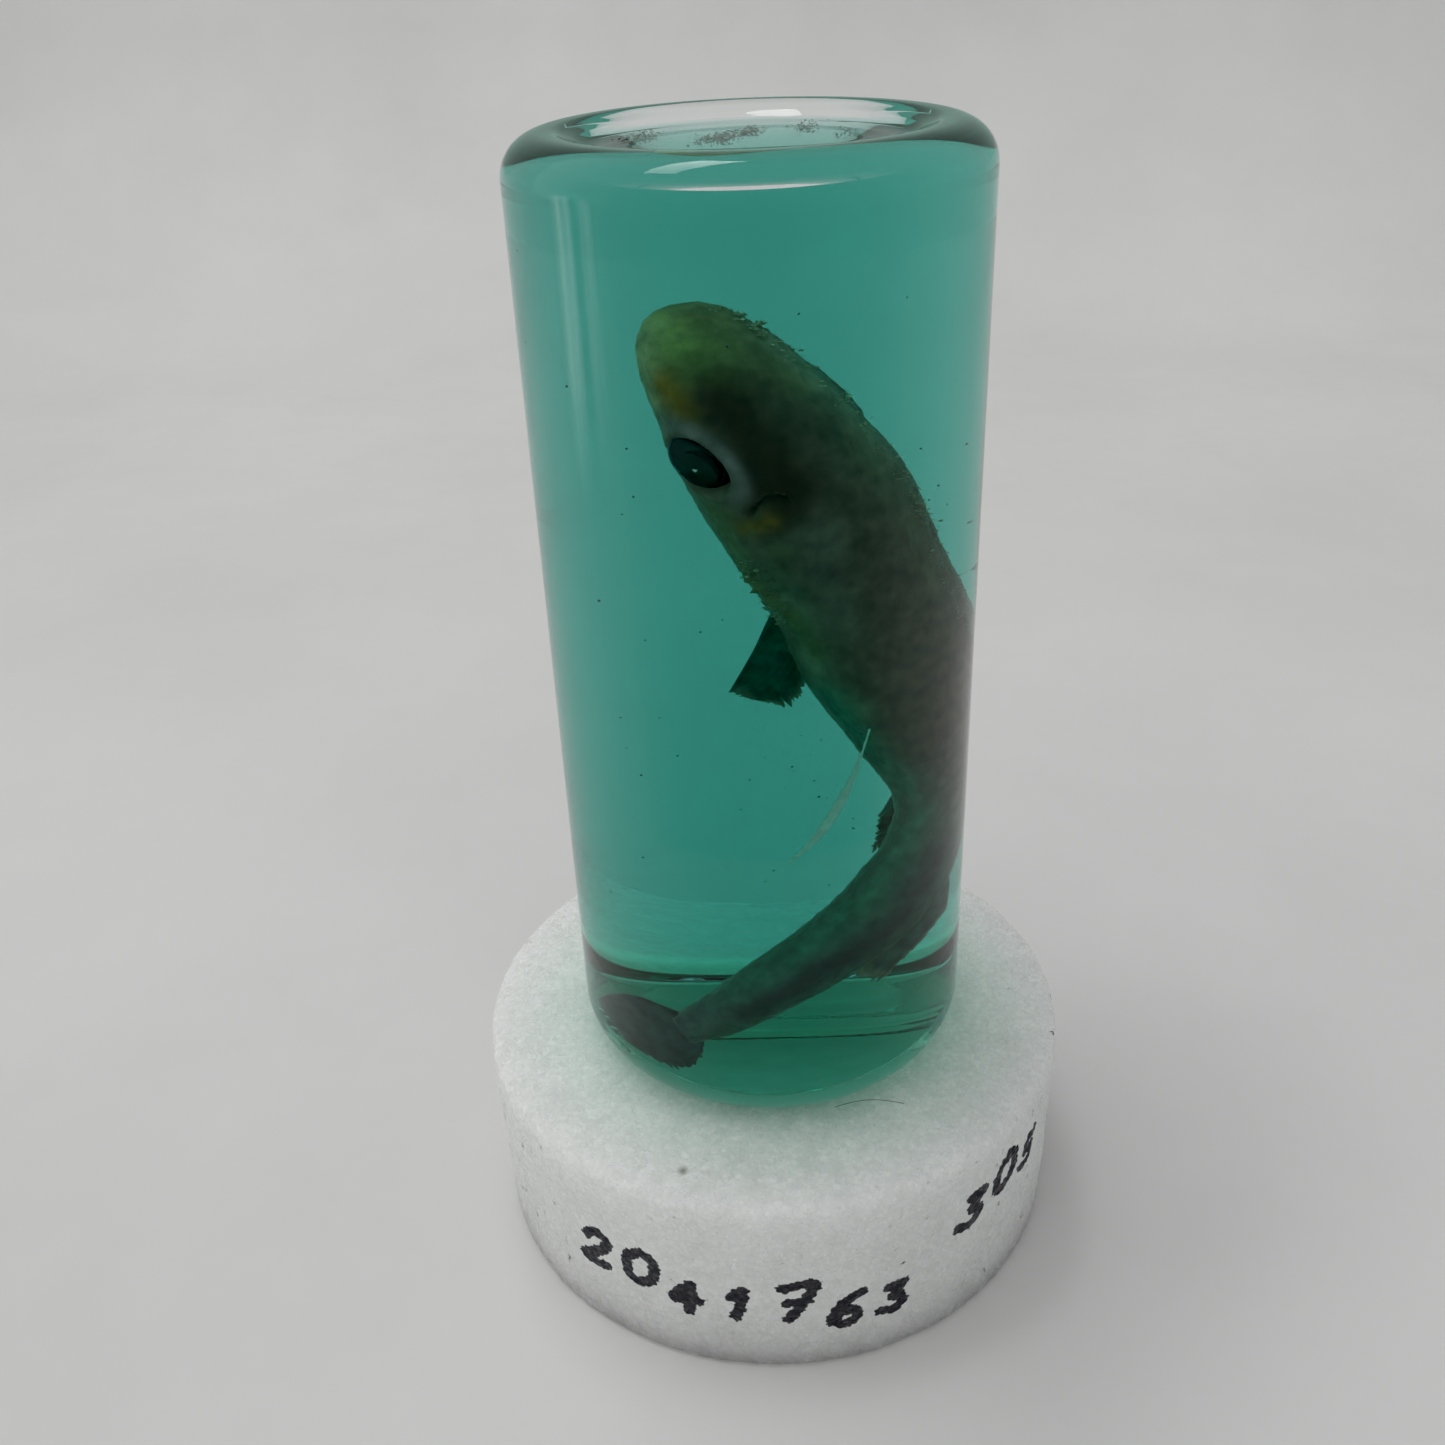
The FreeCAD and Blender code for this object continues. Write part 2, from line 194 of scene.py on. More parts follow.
def sewn_sheet(name, middle, offset):
    """A closed thin sheet: a grid of points, set off to both sides and joined round its border."""
    rows, columns = middle.shape[:2]
    count = rows * columns
    faces = grid_faces(rows, columns, False)
    faces += [tuple(count + corner for corner in face[::-1]) for face in faces]
    border = list(range(columns)) + [r * columns + columns - 1 for r in range(1, rows)]
    border += [(rows - 1) * columns + c for c in range(columns - 2, -1, -1)]
    border += [r * columns for r in range(rows - 2, 0, -1)]
    for here, after in zip(border, border[1:] + border[:1]):
        faces.append((here, count + here, count + after, after))
    points = np.vstack([(middle + offset).reshape(-1, 3), (middle - offset).reshape(-1, 3)])
    return solid(name, points, faces)


def unit(vector):
    """The vector at length one."""
    return vector / np.linalg.norm(vector, axis=-1, keepdims=True)


def through(values, stations):
    """A smooth curve through the values, read at station numbers."""
    values = np.array(values, float)
    ends = np.vstack([2 * values[0] - values[1], values, 2 * values[-1] - values[-2]])
    index = np.clip(np.floor(stations).astype(int), 0, len(values) - 2)
    share = (stations - index)[:, None]
    a, b, c, d = ends[index], ends[index + 1], ends[index + 2], ends[index + 3]
    bend = (2 * a - 5 * b + 4 * c - d) * share**2 + (3 * b - a - 3 * c + d) * share**3
    return 0.5 * (2 * b + (c - a) * share + bend)


def store(item, name, values):
    """Keeps one number per point on the mesh."""
    attribute = item.data.attributes.new(name, "FLOAT", "POINT")
    attribute.data.foreach_set("value", np.asarray(values, np.float32))


def store_tint(item, colours):
    """Keeps one colour per point on the mesh."""
    attribute = item.data.attributes.new("tint", "FLOAT_COLOR", "POINT")
    filled = np.concatenate([colours, np.ones((len(colours), 1))], axis=1)
    attribute.data.foreach_set("color", filled.astype(np.float32).ravel())


def dress(item, *paints):
    """Gives an object its materials in slot order."""
    item.data.materials.clear()
    for paint in paints:
        item.data.materials.append(paint.material)


def place(item, paint, body, slot, *nodes):
    """A piece's material, its body and the CAD nodes it stands for, which it hides; slot is not used."""
    if paint:
        dress(item, paint)
    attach(item, body)
    if nodes:
        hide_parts(*nodes)


# ---- material helpers

class Paint:
    """A node material built step by step around one Principled shader."""

    def __init__(self, name, **sockets):
        self.material = bpy.data.materials.new(name)
        self.material.use_nodes = True
        self.tree = self.material.node_tree
        self.shader = self.tree.nodes["Principled BSDF"]
        self.output = self.tree.nodes["Material Output"]
        for socket, value in sockets.items():
            self.shader.inputs[socket.replace("_", " ")].default_value = value

    def node(self, kind, sockets=None, **settings):
        """A shader node; sockets holds values or links, and settings its own properties."""
        made = self.tree.nodes.new(f"ShaderNode{kind}")
        for key, value in settings.items():
            setattr(made, key, value)
        for socket, value in (sockets or {}).items():
            if isinstance(value, bpy.types.NodeSocket):
                self.tree.links.new(value, made.inputs[socket])
            else:
                made.inputs[socket].default_value = value
        return made

    def place(self, scale=(1, 1, 1)):
        """Object coordinates in metres, stretched."""
        coordinate = self.node("TexCoord")
        mapping = self.node("Mapping", {"Vector": coordinate.outputs["Object"], "Scale": scale})
        return mapping.outputs["Vector"]

    def noise(self, scale, detail=3.0, roughness=0.55, stretch=(1, 1, 1)):
        sockets = {"Vector": self.place(stretch), "Scale": scale, "Detail": detail, "Roughness": roughness}
        return self.node("TexNoise", sockets).outputs["Fac"]

    def cells(self, scale, output="Distance"):
        return self.node("TexVoronoi", {"Vector": self.place(), "Scale": scale}).outputs[output]

    def attribute(self, name, output="Fac"):
        """A number or a colour that the mesh carries."""
        return self.node("Attribute", attribute_name=name).outputs[output]

    def ramp(self, value, *stops):
        """A colour ramp; each stop is (place, colour or grey)."""
        made = self.node("ValToRGB", {"Fac": value})
        elements = made.color_ramp.elements
        while len(elements) < len(stops):
            elements.new(0.5)
        for element, (where, shade) in zip(elements, stops):
            element.position = where
            element.color = (*shade, 1) if isinstance(shade, tuple) else (shade, shade, shade, 1)
        return made.outputs["Color"]

    def tinted(self, mottle):
        """The mesh's own colours, varied by a mottle."""
        return self.mix(1.0, self.attribute("tint", "Color"), mottle, "MULTIPLY")

    def wander(self, scale, low, high, stops=(0.3, 0.7), **settings):
        """A colour or grey that drifts from low to high with a noise."""
        return self.ramp(self.noise(scale, **settings), (stops[0], low), (stops[1], high))

    def math(self, operation, first, second=0.0):
        made = self.node("Math", {0: first, 1: second}, operation=operation)
        return made.outputs["Value"]

    def mix(self, share, first, second, blend="MIX"):
        made = self.node("MixRGB", {"Fac": share, "Color1": first, "Color2": second}, blend_type=blend)
        return made.outputs["Color"]

    def bump(self, height, distance, strength=1.0, under=None):
        sockets = {"Height": height, "Distance": distance, "Strength": strength}
        if under is not None:
            sockets["Normal"] = under
        return self.node("Bump", sockets).outputs["Normal"]

    def facets(self, scale, tilt, under):
        """Leans the surface a little, each cell its own way, so that single cell walls glint."""
        centred = {0: self.cells(scale, "Color"), 1: (0.5, 0.5, 0.5)}
        lean = self.node("VectorMath", centred, operation="SUBTRACT")
        scaled = self.node("VectorMath", {0: lean.outputs["Vector"], "Scale": tilt}, operation="SCALE")
        leant = self.node("VectorMath", {0: scaled.outputs["Vector"], 1: under}, operation="ADD")
        return self.node("VectorMath", {0: leant.outputs["Vector"]}, operation="NORMALIZE").outputs["Vector"]

    def feed(self, **links):
        """Links sources to the shader's sockets."""
        for socket, source in links.items():
            self.tree.links.new(source, self.shader.inputs[socket.replace("_", " ")])
        return self

    def absorb(self, colour, density):
        """Tints the light on its way through."""
        made = self.node("VolumeAbsorption", {"Color": (*colour, 1), "Density": density})
        self.tree.links.new(made.outputs["Volume"], self.output.inputs["Volume"])
        return self


# ---- materials

def clear(name, ior, colour=WHITE, **sockets):
    """A smooth surface that passes all light and bends it by its own step."""
    return Paint(name, Base_Color=colour, Roughness=0.0, IOR=ior, Transmission_Weight=1.0, **sockets)


def clear_glass(name="clear_glass", ior=GLASS_IOR):
    """The dry faces of the bottle, a little uneven."""
    paint = clear(name, ior, (0.97, 0.985, 0.98, 1), Specular_Tint=(0.15, 0.15, 0.15, 1))
    ripple = paint.noise(38.0, detail=1.0, stretch=(1, 1, 0.25))
    return paint.feed(Normal=paint.bump(ripple, 0.0004, 0.35))


def wet_glass():
    """The faces of the bottle that the liquid wets: the step from glass to liquid."""
    return clear("wet_glass", GLASS_IOR / LIQUID_IOR)


def soaked_base():
    """The wet faces under the base, where the glass passes almost straight into the liquid."""
    return clear("soaked_base", BASE_STEP)


def tinted_liquid():
    """The liquid tints what is seen through it; the wet glass already bends the light."""
    return clear("tinted_liquid", 1.0).absorb(LIQUID_COLOUR, LIQUID_DENSITY)


def white_foam():
    """Closed-cell foam with glinting walls; the mesh carries its ink, its dirt, a painted glow in the socket and
    painted green light from the jar on the top.
    """
    paint = Paint("white_foam", Specular_IOR_Level=0.6, Subsurface_Weight=1.0, Subsurface_Scale=0.03,
                  Subsurface_Radius=(1.0, 1.0, 1.0), Emission_Strength=1.0)
    cell = paint.cells(800.0)
    shade = paint.wander(60.0, (0.86, 0.875, 0.86), (0.93, 0.94, 0.93), detail=4.0)
    pits = paint.ramp(cell, (0.0, 1.0), (0.75, 0.90))
    # painted light: green over the top near the jar, for light that passes through the jar onto the foam
    lit_by_jar = paint.mix(paint.attribute("painted_jar_light"), shade, (0.80, 0.93, 0.87, 1))
    white = paint.mix(1.0, lit_by_jar, pits, "MULTIPLY")
    grain = paint.math("MULTIPLY", paint.cells(1100.0), 0.55)
    cover = paint.ramp(paint.math("SUBTRACT", paint.attribute("ink"), grain), (0.12, 0.0), (0.24, 1.0))
    soiled = paint.mix(paint.attribute("dirt"), white, (0.30, 0.31, 0.27, 1))
    bumps = paint.bump(cell, 0.0009, 0.8)
    fine = paint.bump(paint.cells(1700.0), 0.0004, 0.7, bumps)
    # painted light: the socket glows faintly, for light that the real foam passes on to it
    return paint.feed(Base_Color=paint.mix(cover, soiled, (0.012, 0.012, 0.02, 1)),
                      Roughness=paint.ramp(cell, (0.1, 0.25), (0.7, 0.75)),
                      Normal=paint.facets(900.0, 1.5, fine),
                      Emission_Color=paint.mix(paint.attribute("socket"), BLACK, SEEPING_LIGHT))


def grained(name, colours, rough, specular, detail=3.0, **sockets):
    """A surface whose colour and roughness each drift with a noise: (scale, low, high)."""
    paint = Paint(name, Specular_IOR_Level=specular, **sockets)
    return paint.feed(Base_Color=paint.wander(*colours, detail=detail), Roughness=paint.wander(*rough))


def cap_plastic():
    """White moulded plastic with a fine spark-eroded grain and a painted glow for light that the foam passes on
    to it.
    """
    paint = grained("cap_plastic", (90.0, (0.78, 0.78, 0.76), (0.86, 0.86, 0.85)), (400.0, 0.38, 0.55), 0.45, 5.0,
                    Emission_Color=SEEPING_LIGHT, Emission_Strength=CAP_GLOW)
    return paint.feed(Normal=paint.bump(paint.noise(2500.0), 0.0001, 0.4))


def liner_foam():
    """Off-white foamed liner with a painted glow for light that the foam passes on to it."""
    paint = grained("liner_foam", (200.0, (0.72, 0.71, 0.66), (0.82, 0.81, 0.77)), (900.0, 0.6, 0.85), 0.3,
                    Emission_Color=SEEPING_LIGHT, Emission_Strength=CAP_GLOW)
    return paint.feed(Normal=paint.bump(paint.cells(3000.0), 0.0001, 0.5))


def specimen_skin():
    """Wet skin: the mesh carries the broad colours, and fine mottling and shagreen lie over them."""
    paint = Paint("specimen_skin", Specular_IOR_Level=0.25, Sheen_Weight=0.25, Sheen_Roughness=0.5,
                  Sheen_Tint=(0.75, 0.9, 0.6, 1))
    mottle = paint.wander(240.0, 0.78, 1.22, (0.32, 0.68), detail=6.0, roughness=0.6)
    skin = paint.bump(paint.noise(350.0, detail=5.0), 0.0006, 0.6)
    return paint.feed(Base_Color=paint.tinted(mottle),
                      Roughness=paint.wander(600.0, 0.35, 0.6),
                      Normal=paint.bump(paint.cells(3500.0), 0.00012, 0.4, skin))


def specimen_fin():
    """Thin wet fin skin with faint rays."""
    paint = Paint("specimen_fin", Specular_IOR_Level=0.25, Subsurface_Weight=0.3, Subsurface_Scale=0.002)
    mottle = paint.wander(500.0, 0.55, 1.4, detail=5.0)
    return paint.feed(Base_Color=paint.tinted(mottle),
                      Roughness=paint.wander(700.0, 0.35, 0.6),
                      Normal=paint.bump(paint.noise(900.0, detail=4.0), 0.0003, 0.5))


def specimen_eye():
    """A clouded eye: dark ring round a dull green lens."""
    paint = Paint("specimen_eye", Specular_IOR_Level=0.2, Roughness=0.12)
    veil = paint.wander(700.0, 0.6, 1.25, (0.35, 0.7), detail=4.0)
    return paint.feed(Base_Color=paint.tinted(veil))


def pale_tissue():
    """Thin pale tissue."""
    return grained("pale_tissue", (500.0, (0.72, 0.78, 0.66), (0.92, 0.95, 0.86)), (800.0, 0.4, 0.7), 0.3)


def worn_skin():
    """Pale shreds where the skin has worn."""
    colours = (300.0, (0.45, 0.25, 0.16), (0.85, 0.60, 0.40), (0.35, 0.65))
    return grained("worn_skin", colours, (800.0, 0.4, 0.7), 0.25, 4.0,
                   Subsurface_Weight=0.4, Subsurface_Scale=0.002)


def dark_specks():
    """Scraps of dark skin adrift in the liquid."""
    return grained("dark_specks", (900.0, (0.02, 0.03, 0.02), (0.07, 0.09, 0.06)), (700.0, 0.5, 0.8), 0.2)


def dust():
    """Grey dust."""
    return grained("dust", (900.0, (0.10, 0.13, 0.11), (0.22, 0.26, 0.23)), (700.0, 0.6, 0.9), 0.2)


# ---- bottle and liquid

def push_up(radius, lowest):
    """Height of the domed base at a radius."""
    return lowest + PUSH_UP_RADIUS - math.sqrt(PUSH_UP_RADIUS**2 - radius**2)


def dish(radius):
    """Height of the recess floor, a shallow bowl, at a radius."""
    return JAR_TOP - RECESS_DEPTH - DISH_SAG * (1 - (radius / RECESS_FLOOR_RADIUS)**2)


def inside_profile(draw_in):
    """The bottle's hollow from the middle of the base down to the throat, drawn in from the glass."""
    lowest = CEILING - PUSH_UP_RISE - draw_in
    radius = JAR_RADIUS - WALL - draw_in
    edge_ring = radius - CEILING_EDGE
    edge_level = push_up(edge_ring, lowest) - CEILING_EDGE
    bend = SHOULDER_RADIUS - WALL - draw_in
    profile = [(0.0, lowest)]
    profile += [(r, push_up(r, lowest)) for r in np.linspace(1.5, edge_ring - 0.5, 18)]
    profile += arc(edge_ring, edge_level, CEILING_EDGE, 88, 0, 14)
    profile += line((radius, edge_level), (radius, SHOULDER_LEVEL), 40)[:-1]
    profile += arc(SHOULDER_RING, SHOULDER_LEVEL, bend, 0, -84, 16)
    profile += [(SHOULDER_RING - 1.2, SHOULDER_LEVEL - bend - 0.1)]
    profile += [(THROAT_RADIUS - draw_in + 0.8, SHOULDER_LEVEL - bend - 0.7)]
    profile += [(THROAT_RADIUS - draw_in, SHOULDER_LEVEL - bend - 2.2)]
    return profile


def outside_profile():
    """The bottle's outer face from the middle of the recess to the mouth."""
    floor = JAR_TOP - RECESS_DEPTH
    heel_ring = JAR_RADIUS - HEEL_RADIUS
    heel_level = JAR_TOP - HEEL_RADIUS
    profile = [(0.0, floor - DISH_SAG)]
    profile += [(r, dish(r)) for r in np.linspace(1.5, RECESS_FLOOR_RADIUS - 1.2, 16)]
    profile += [(RECESS_FLOOR_RADIUS - 0.4, floor), (RECESS_FLOOR_RADIUS + 0.2, floor + 0.35)]
    profile += line((RECESS_FLOOR_RADIUS + 0.5, floor + 0.7), (RECESS_RADIUS - 0.4, JAR_TOP - 0.5), 4)
    profile += [(RECESS_RADIUS + 0.2, JAR_TOP - 0.12), (RECESS_RADIUS + 1.0, JAR_TOP)]
    profile += arc(heel_ring, heel_level, HEEL_RADIUS, 90, 0, 22)
    profile += line((JAR_RADIUS, heel_level), (JAR_RADIUS, SHOULDER_LEVEL), 40)[:-1]
    profile += arc(SHOULDER_RING, SHOULDER_LEVEL, SHOULDER_RADIUS, 0, -86, 22)
    profile += [(NECK_RADIUS + 0.25, SHOULDER_LEVEL - SHOULDER_RADIUS - 0.15)]
    profile += line((NECK_RADIUS, SHOULDER_LEVEL - SHOULDER_RADIUS - 0.5), (NECK_RADIUS, MOUTH + 1.0), 46)
    profile += arc(NECK_RADIUS - LIP_RADIUS, MOUTH + LIP_RADIUS, LIP_RADIUS, -20, -80, 5)
    return profile


def add_thread(points):
    """Raises the neck's outer face over a helical bead."""
    radius = np.hypot(points[..., 0], points[..., 1])
    level = points[..., 2]
    turn = (np.arctan2(points[..., 1], points[..., 0]) / (2 * math.pi)) % 1.0
    height = np.zeros_like(radius)
    for lap in range(3):
        along = turn + lap
        offset = np.abs(level - (THREAD_START + along * THREAD_LEAD))
        bead = np.sqrt(np.clip(BEAD_RADIUS**2 - offset**2, 0, None))
        ends = np.clip((THREAD_LENGTH / THREAD_LEAD - along) * 12, 0, 1) * np.clip(along * 12, 0, 1)
        height = np.maximum(height, bead * ends)
    neck = np.abs(radius - NECK_RADIUS) < 0.05
    grown = np.where(neck, 1 + height / np.maximum(radius, 1), 1)
    points = points.copy()
    points[..., 0] *= grown
    points[..., 1] *= grown
    return points


def glass_jar(glass, wet, base, soaked):
    """One closed shell; its hollow's faces use the wet glass, and the base's recess has its own pair."""
    outside = outside_profile()
    inside = inside_profile(0.0)[::-1]
    lip = [(THROAT_RADIUS + LIP_BEVEL, MOUTH), (THROAT_RADIUS, MOUTH + LIP_BEVEL)]
    throat = line(lip[-1], inside[0], 12)
    profile = outside + lip + throat[:-1] + inside
    jar = lathe("glass_jar_shell", profile, shift=add_thread)
    dress(jar, glass, wet, base, soaked)
    first_wet = (len(outside) + len(lip) - 2) * LATHE_STEPS
    for face in jar.data.polygons:
        inner = min(face.vertices) >= first_wet
        in_base = face.center.z > BASE_LEVEL * MM
        in_recess = math.hypot(face.center.x, face.center.y) < RECESS_EDGE * MM
        face.material_index = 2 * (in_base and (inner or in_recess)) + inner
    place(jar, None, "jar", "clear_glass", "glass_jar")


def liquid(paint):
    """The liquid's closed outer form, a film's width inside the glass."""
    profile = inside_profile(LIQUID_FILM)
    floor = MOUTH + LIQUID_GAP
    profile += line(profile[-1], (THROAT_RADIUS - LIQUID_FILM, floor), 12)
    profile += [(THROAT_RADIUS / 2, floor), (0.0, floor)]
    place(lathe("liquid_body", profile), paint, "contents", "tinted_liquid", "preserving_fluid")


# ---- stand

def foam_profile():
    """The disc's section, from the rim of the socket over the top and down to the underside."""
    seat = SHOULDER_RADIUS + SEAT_GAP
    rim_angle = -math.degrees(math.acos((SOCKET_RADIUS - SHOULDER_RING) / seat))
    top_angle = -math.degrees(math.asin((SHOULDER_LEVEL - FOAM_HEIGHT) / seat))
    edge = FOAM_EDGE * 1.3
    top_ring = FOAM_RADIUS - edge
    profile = arc(SHOULDER_RING, SHOULDER_LEVEL, seat, rim_angle, top_angle, 5)
    profile += line(profile[-1], (top_ring, FOAM_HEIGHT), 34)[:-1]
    profile += arc(top_ring, FOAM_HEIGHT - edge, edge, 90, 0, 6)
    profile += line((FOAM_RADIUS, FOAM_HEIGHT - edge), (FOAM_RADIUS - FOAM_TAPER, FOAM_EDGE), 64)
    profile += arc(FOAM_RADIUS - FOAM_TAPER - FOAM_EDGE, FOAM_EDGE, FOAM_EDGE, -15, -90, 5)
    profile += line((FOAM_RADIUS - FOAM_TAPER - FOAM_EDGE, 0.0), (SOCKET_RADIUS + 0.6, 0.0), 10)
    profile += line((SOCKET_RADIUS, 0.6), profile[0], 20)[:-1]
    return profile


def roughen_foam(points):
    """Soft lumps and small cells over the disc; the seat and the underside stay true."""
    result = points.copy()
    for row in range(points.shape[0]):
        for column in range(points.shape[1]):
            point = Vector(points[row, column])
            radius = math.hypot(point.x, point.y)
            on_top = point.z > FOAM_HEIGHT - 0.5
            keep = min(1.0, max(0.0, (radius - SHOULDER_RING - SHOULDER_RADIUS * 0.5) / 4)) if on_top else 1.0
            keep *= min(1.0, point.z / 2)
            if radius < SOCKET_RADIUS + 0.5:
                keep = 0.0
            lump = noise.noise(point * 0.09) * 0.35
            nearest = noise.voronoi(point * 0.8, distance_metric="DISTANCE", exponent=2.5)[0]
            dome = (0.5 - min(nearest[0], 0.9)) * 0.32
            depth = (lump + dome - 0.12) * keep
            sideways = 0.0 if on_top else depth
            scale = 1 + sideways / max(radius, 1)
            result[row, column] = (point.x * scale, point.y * scale, point.z + (depth if on_top else 0.0))
    return result


# Handwriting: each numeral is a few strokes through points in a box one unit wide and about two high.
NUMERALS = {
    "0": [[(0.5, 2.0), (0.05, 1.5), (0.1, 0.4), (0.5, 0.0), (0.95, 0.5), (0.9, 1.6), (0.45, 2.0)]],
    "1": [[(0.15, 1.5), (0.55, 2.0), (0.5, 0.0)]],
    "2": [[(0.05, 1.5), (0.4, 2.0), (0.9, 1.7), (0.8, 1.1), (0.05, 0.05), (1.0, 0.1)]],
    "3": [[(0.1, 1.9), (0.8, 1.9), (0.4, 1.15), (0.9, 0.7), (0.6, 0.05), (0.0, 0.2)]],
    "4": [[(0.6, 2.0), (0.0, 0.8), (1.0, 0.85)], [(0.75, 1.4), (0.7, 0.0)]],
    "5": [[(0.95, 2.0), (0.2, 1.95), (0.15, 1.15), (0.8, 1.1), (0.9, 0.4), (0.5, 0.0), (0.0, 0.2)]],
    "6": [[(0.85, 1.95), (0.25, 1.3), (0.05, 0.4), (0.5, 0.0), (0.9, 0.45), (0.6, 0.95), (0.1, 0.6)]],
    "7": [[(0.0, 1.85), (0.95, 1.95), (0.4, 0.0)], [(0.25, 0.95), (0.85, 1.05)]],
}
FRONT_NUMBER = "2041763"
SIDE_NUMBER = "305"
STROKE = 1.45


def smooth_stroke(points, steps=14):
    """A smooth line through the points."""
    return through(points, np.arange((len(points) - 1) * steps + 1) / steps)


def written(number, start, step, level, drop, size, lean):
    """Stroke points (arc length round the stand, height) for a number, with an unsteady hand."""
    strokes = []
    for index, numeral in enumerate(number):
        across = start + step * index
        up = level - drop * index + 1.2 * math.sin(index * 2.1)
        grow = 1 + 0.14 * math.sin(index * 1.7 + 0.6)
        for stroke in NUMERALS[numeral]:
            strokes.append([
                (across + (x * size + y * lean) * grow, up + y * size * 0.72 * grow)
                for x, y in smooth_stroke(stroke)
            ])
    return strokes


def ink_amount(radius, azimuth, level, strokes):
    """How far inside a marker stroke each point lies, from 0 outside to 1 in the middle."""
    across = azimuth * radius
    nearest = np.full(across.shape, 99.0)
    for stroke in strokes:
        for x, z in stroke:
            nearest = np.minimum(nearest, np.hypot(across - x, level - z))
    return np.clip(1.25 - nearest / STROKE, 0, 1)


# Dirty spots on the foam: place, size, strength.
DIRT = (((54.0, 19.0, 37.5), 2.6, 0.8), ((-15.5, -44.6, 39.0), 0.9, 0.9))


def foam_marks(points):
    """Marker ink and dirt at each point of the stand."""
    azimuth = np.arctan2(points[:, 0], -points[:, 1])
    front = written(FRONT_NUMBER, -37.5, 9.2, 15.5, 0.9, 5.0, 0.6)
    side = written(SIDE_NUMBER, 33.0, 8.6, 22.0, -1.6, 4.4, 1.2)
    on_side = np.hypot(points[:, 0], points[:, 1]) > FOAM_RADIUS - 3
    dirt = np.zeros(len(points))
    for centre, size, amount in DIRT:
        away = np.linalg.norm(points - centre, axis=1)
        dirt = np.maximum(dirt, amount * np.clip(1.4 - away / size, 0, 1))
    return ink_amount(FOAM_RADIUS, azimuth, points[:, 2], front + side) * on_side, dirt


def foam_light(points):
    """How far each point lies in the painted glow of the socket, and in the painted green light that the jar
    casts on the top.
    """
    ring = np.hypot(points[:, 0], points[:, 1])
    edge = JAR_RADIUS - 2 + 4 * points[:, 1] / ring
    on_top = points[:, 2] > FOAM_HEIGHT - 3
    # painted light: the green that the jar casts on the foam top, strongest beside the jar
    painted_jar_light = np.clip((FOAM_RADIUS - 1 - ring) / (FOAM_RADIUS - JAR_RADIUS), 0, 1) * on_top
    return np.clip((edge - ring) / 2, 0, 1), painted_jar_light


def foam_stand(paint):
    """The foam disc with its marks."""
    stand = lathe("foam_stand", foam_profile(), FOAM_STEPS, roughen_foam)
    points = np.array([vertex.co for vertex in stand.data.vertices]) / MM
    for name, values in zip(("ink", "dirt", "socket", "painted_jar_light"), foam_marks(points) + foam_light(points)):
        store(stand, name, values)
    place(stand, paint, "stand", "white_foam", "foam_base")


# ---- the pup

# Place, half width and half depth (parts of the girth) along the spine, from the snout to the tail.
GIRTH = 22.0
STATIONS = (
    ((-10.4, -2.0, 171.6), 0.10, 0.08),
    ((-9.3, -2.0, 170.0), 0.24, 0.18),
    ((-7.0, -2.0, 166.8), 0.35, 0.28),
    ((-3.5, -2.0, 161.2), 0.44, 0.37),
    ((1.3, -2.0, 152.0), 0.52, 0.47),
    ((6.4, -1.0, 141.3), 0.54, 0.52),
    ((10.8, 0.0, 129.5), 0.49, 0.49),
    ((14.8, 1.0, 116.5), 0.49, 0.48),
    ((19.8, 1.0, 103.5), 0.45, 0.44),
    ((23.2, 0.0, 91.0), 0.37, 0.36),
    ((22.0, -3.5, 80.5), 0.34, 0.33),
    ((16.0, -8.5, 71.5), 0.33, 0.32),
    ((8.8, -12.5, 65.4), 0.285, 0.275),
    ((0.6, -15.5, 59.9), 0.245, 0.235),
    ((-6.6, -17.0, 54.4), 0.21, 0.185),
    ((-13.0, -17.0, 50.0), 0.155, 0.13),
)
DORSAL_HINT = np.array((0.75, -0.66, 0.0))
BODY_RINGS = 360
RING_POINTS = 176
LAST = len(STATIONS) - 1


def spine(stations):
    """Place, forward, dorsal and left directions, half width and half depth at station numbers."""
    stations = np.atleast_1d(np.array(stations, float))
    table = [(*place_, width * GIRTH, depth * GIRTH) for place_, width, depth in STATIONS]
    read = through(table, stations)
    ahead = through(table, np.clip(stations - 0.5, 0, LAST))[:, :3]
    behind = through(table, np.clip(stations + 0.5, 0, LAST))[:, :3]
    forward = unit(ahead - behind)
    dorsal = unit(DORSAL_HINT - forward * (forward @ DORSAL_HINT)[:, None])
    return read[:, :3], forward, dorsal, np.cross(dorsal, forward), read[:, 3], read[:, 4]


def skin_points(stations, angles):
    """Points of the plain skin; angles in degrees from the back towards the pup's left."""
    place_, _, dorsal, left, width, depth = spine(stations)
    angles = np.radians(angles)
    up = (np.cos(angles) * depth)[:, None]
    across = (np.sin(angles) * width)[:, None]
    return place_ + dorsal * up + left * across


def spot(station, angle):
    """One point of the plain skin."""
    return skin_points([station], np.array([angle]))[0]


def near(points, centre, size):
    """A soft round mask."""
    return np.exp(-np.sum((points - centre)**2, axis=-1) / size**2)


def along(points, places, size, steps=12):
    """A soft mask along a line of (station, angle) places."""
    route = [spot(station, angle) for station, angle in places]
    mask = np.zeros(len(points))
    for start, stop in zip(route, route[1:]):
        for share in np.linspace(0, 1, steps):
            mask = np.maximum(mask, near(points, start + (stop - start) * share, size))
    return mask


def speckle(points, scale, seed=0.0):
    """Smooth noise between about -1 and 1 at each point."""
    offset = Vector((seed, seed * 0.7, -seed))
    return np.array([noise.fractal(Vector(point) * scale + offset, 0.9, 2.1, 4) for point in points])


EYE_STATION = 4
EYE_REACH = 9.0
EYE_LEAD = 3.0
EYE_DROP = 1.0
EYE_LONG = 4.5
EYE_HIGH = 2.75
EYE_DEEP = 2.7
EYE_TILT = 0.28
EYE_TURN = 0.7


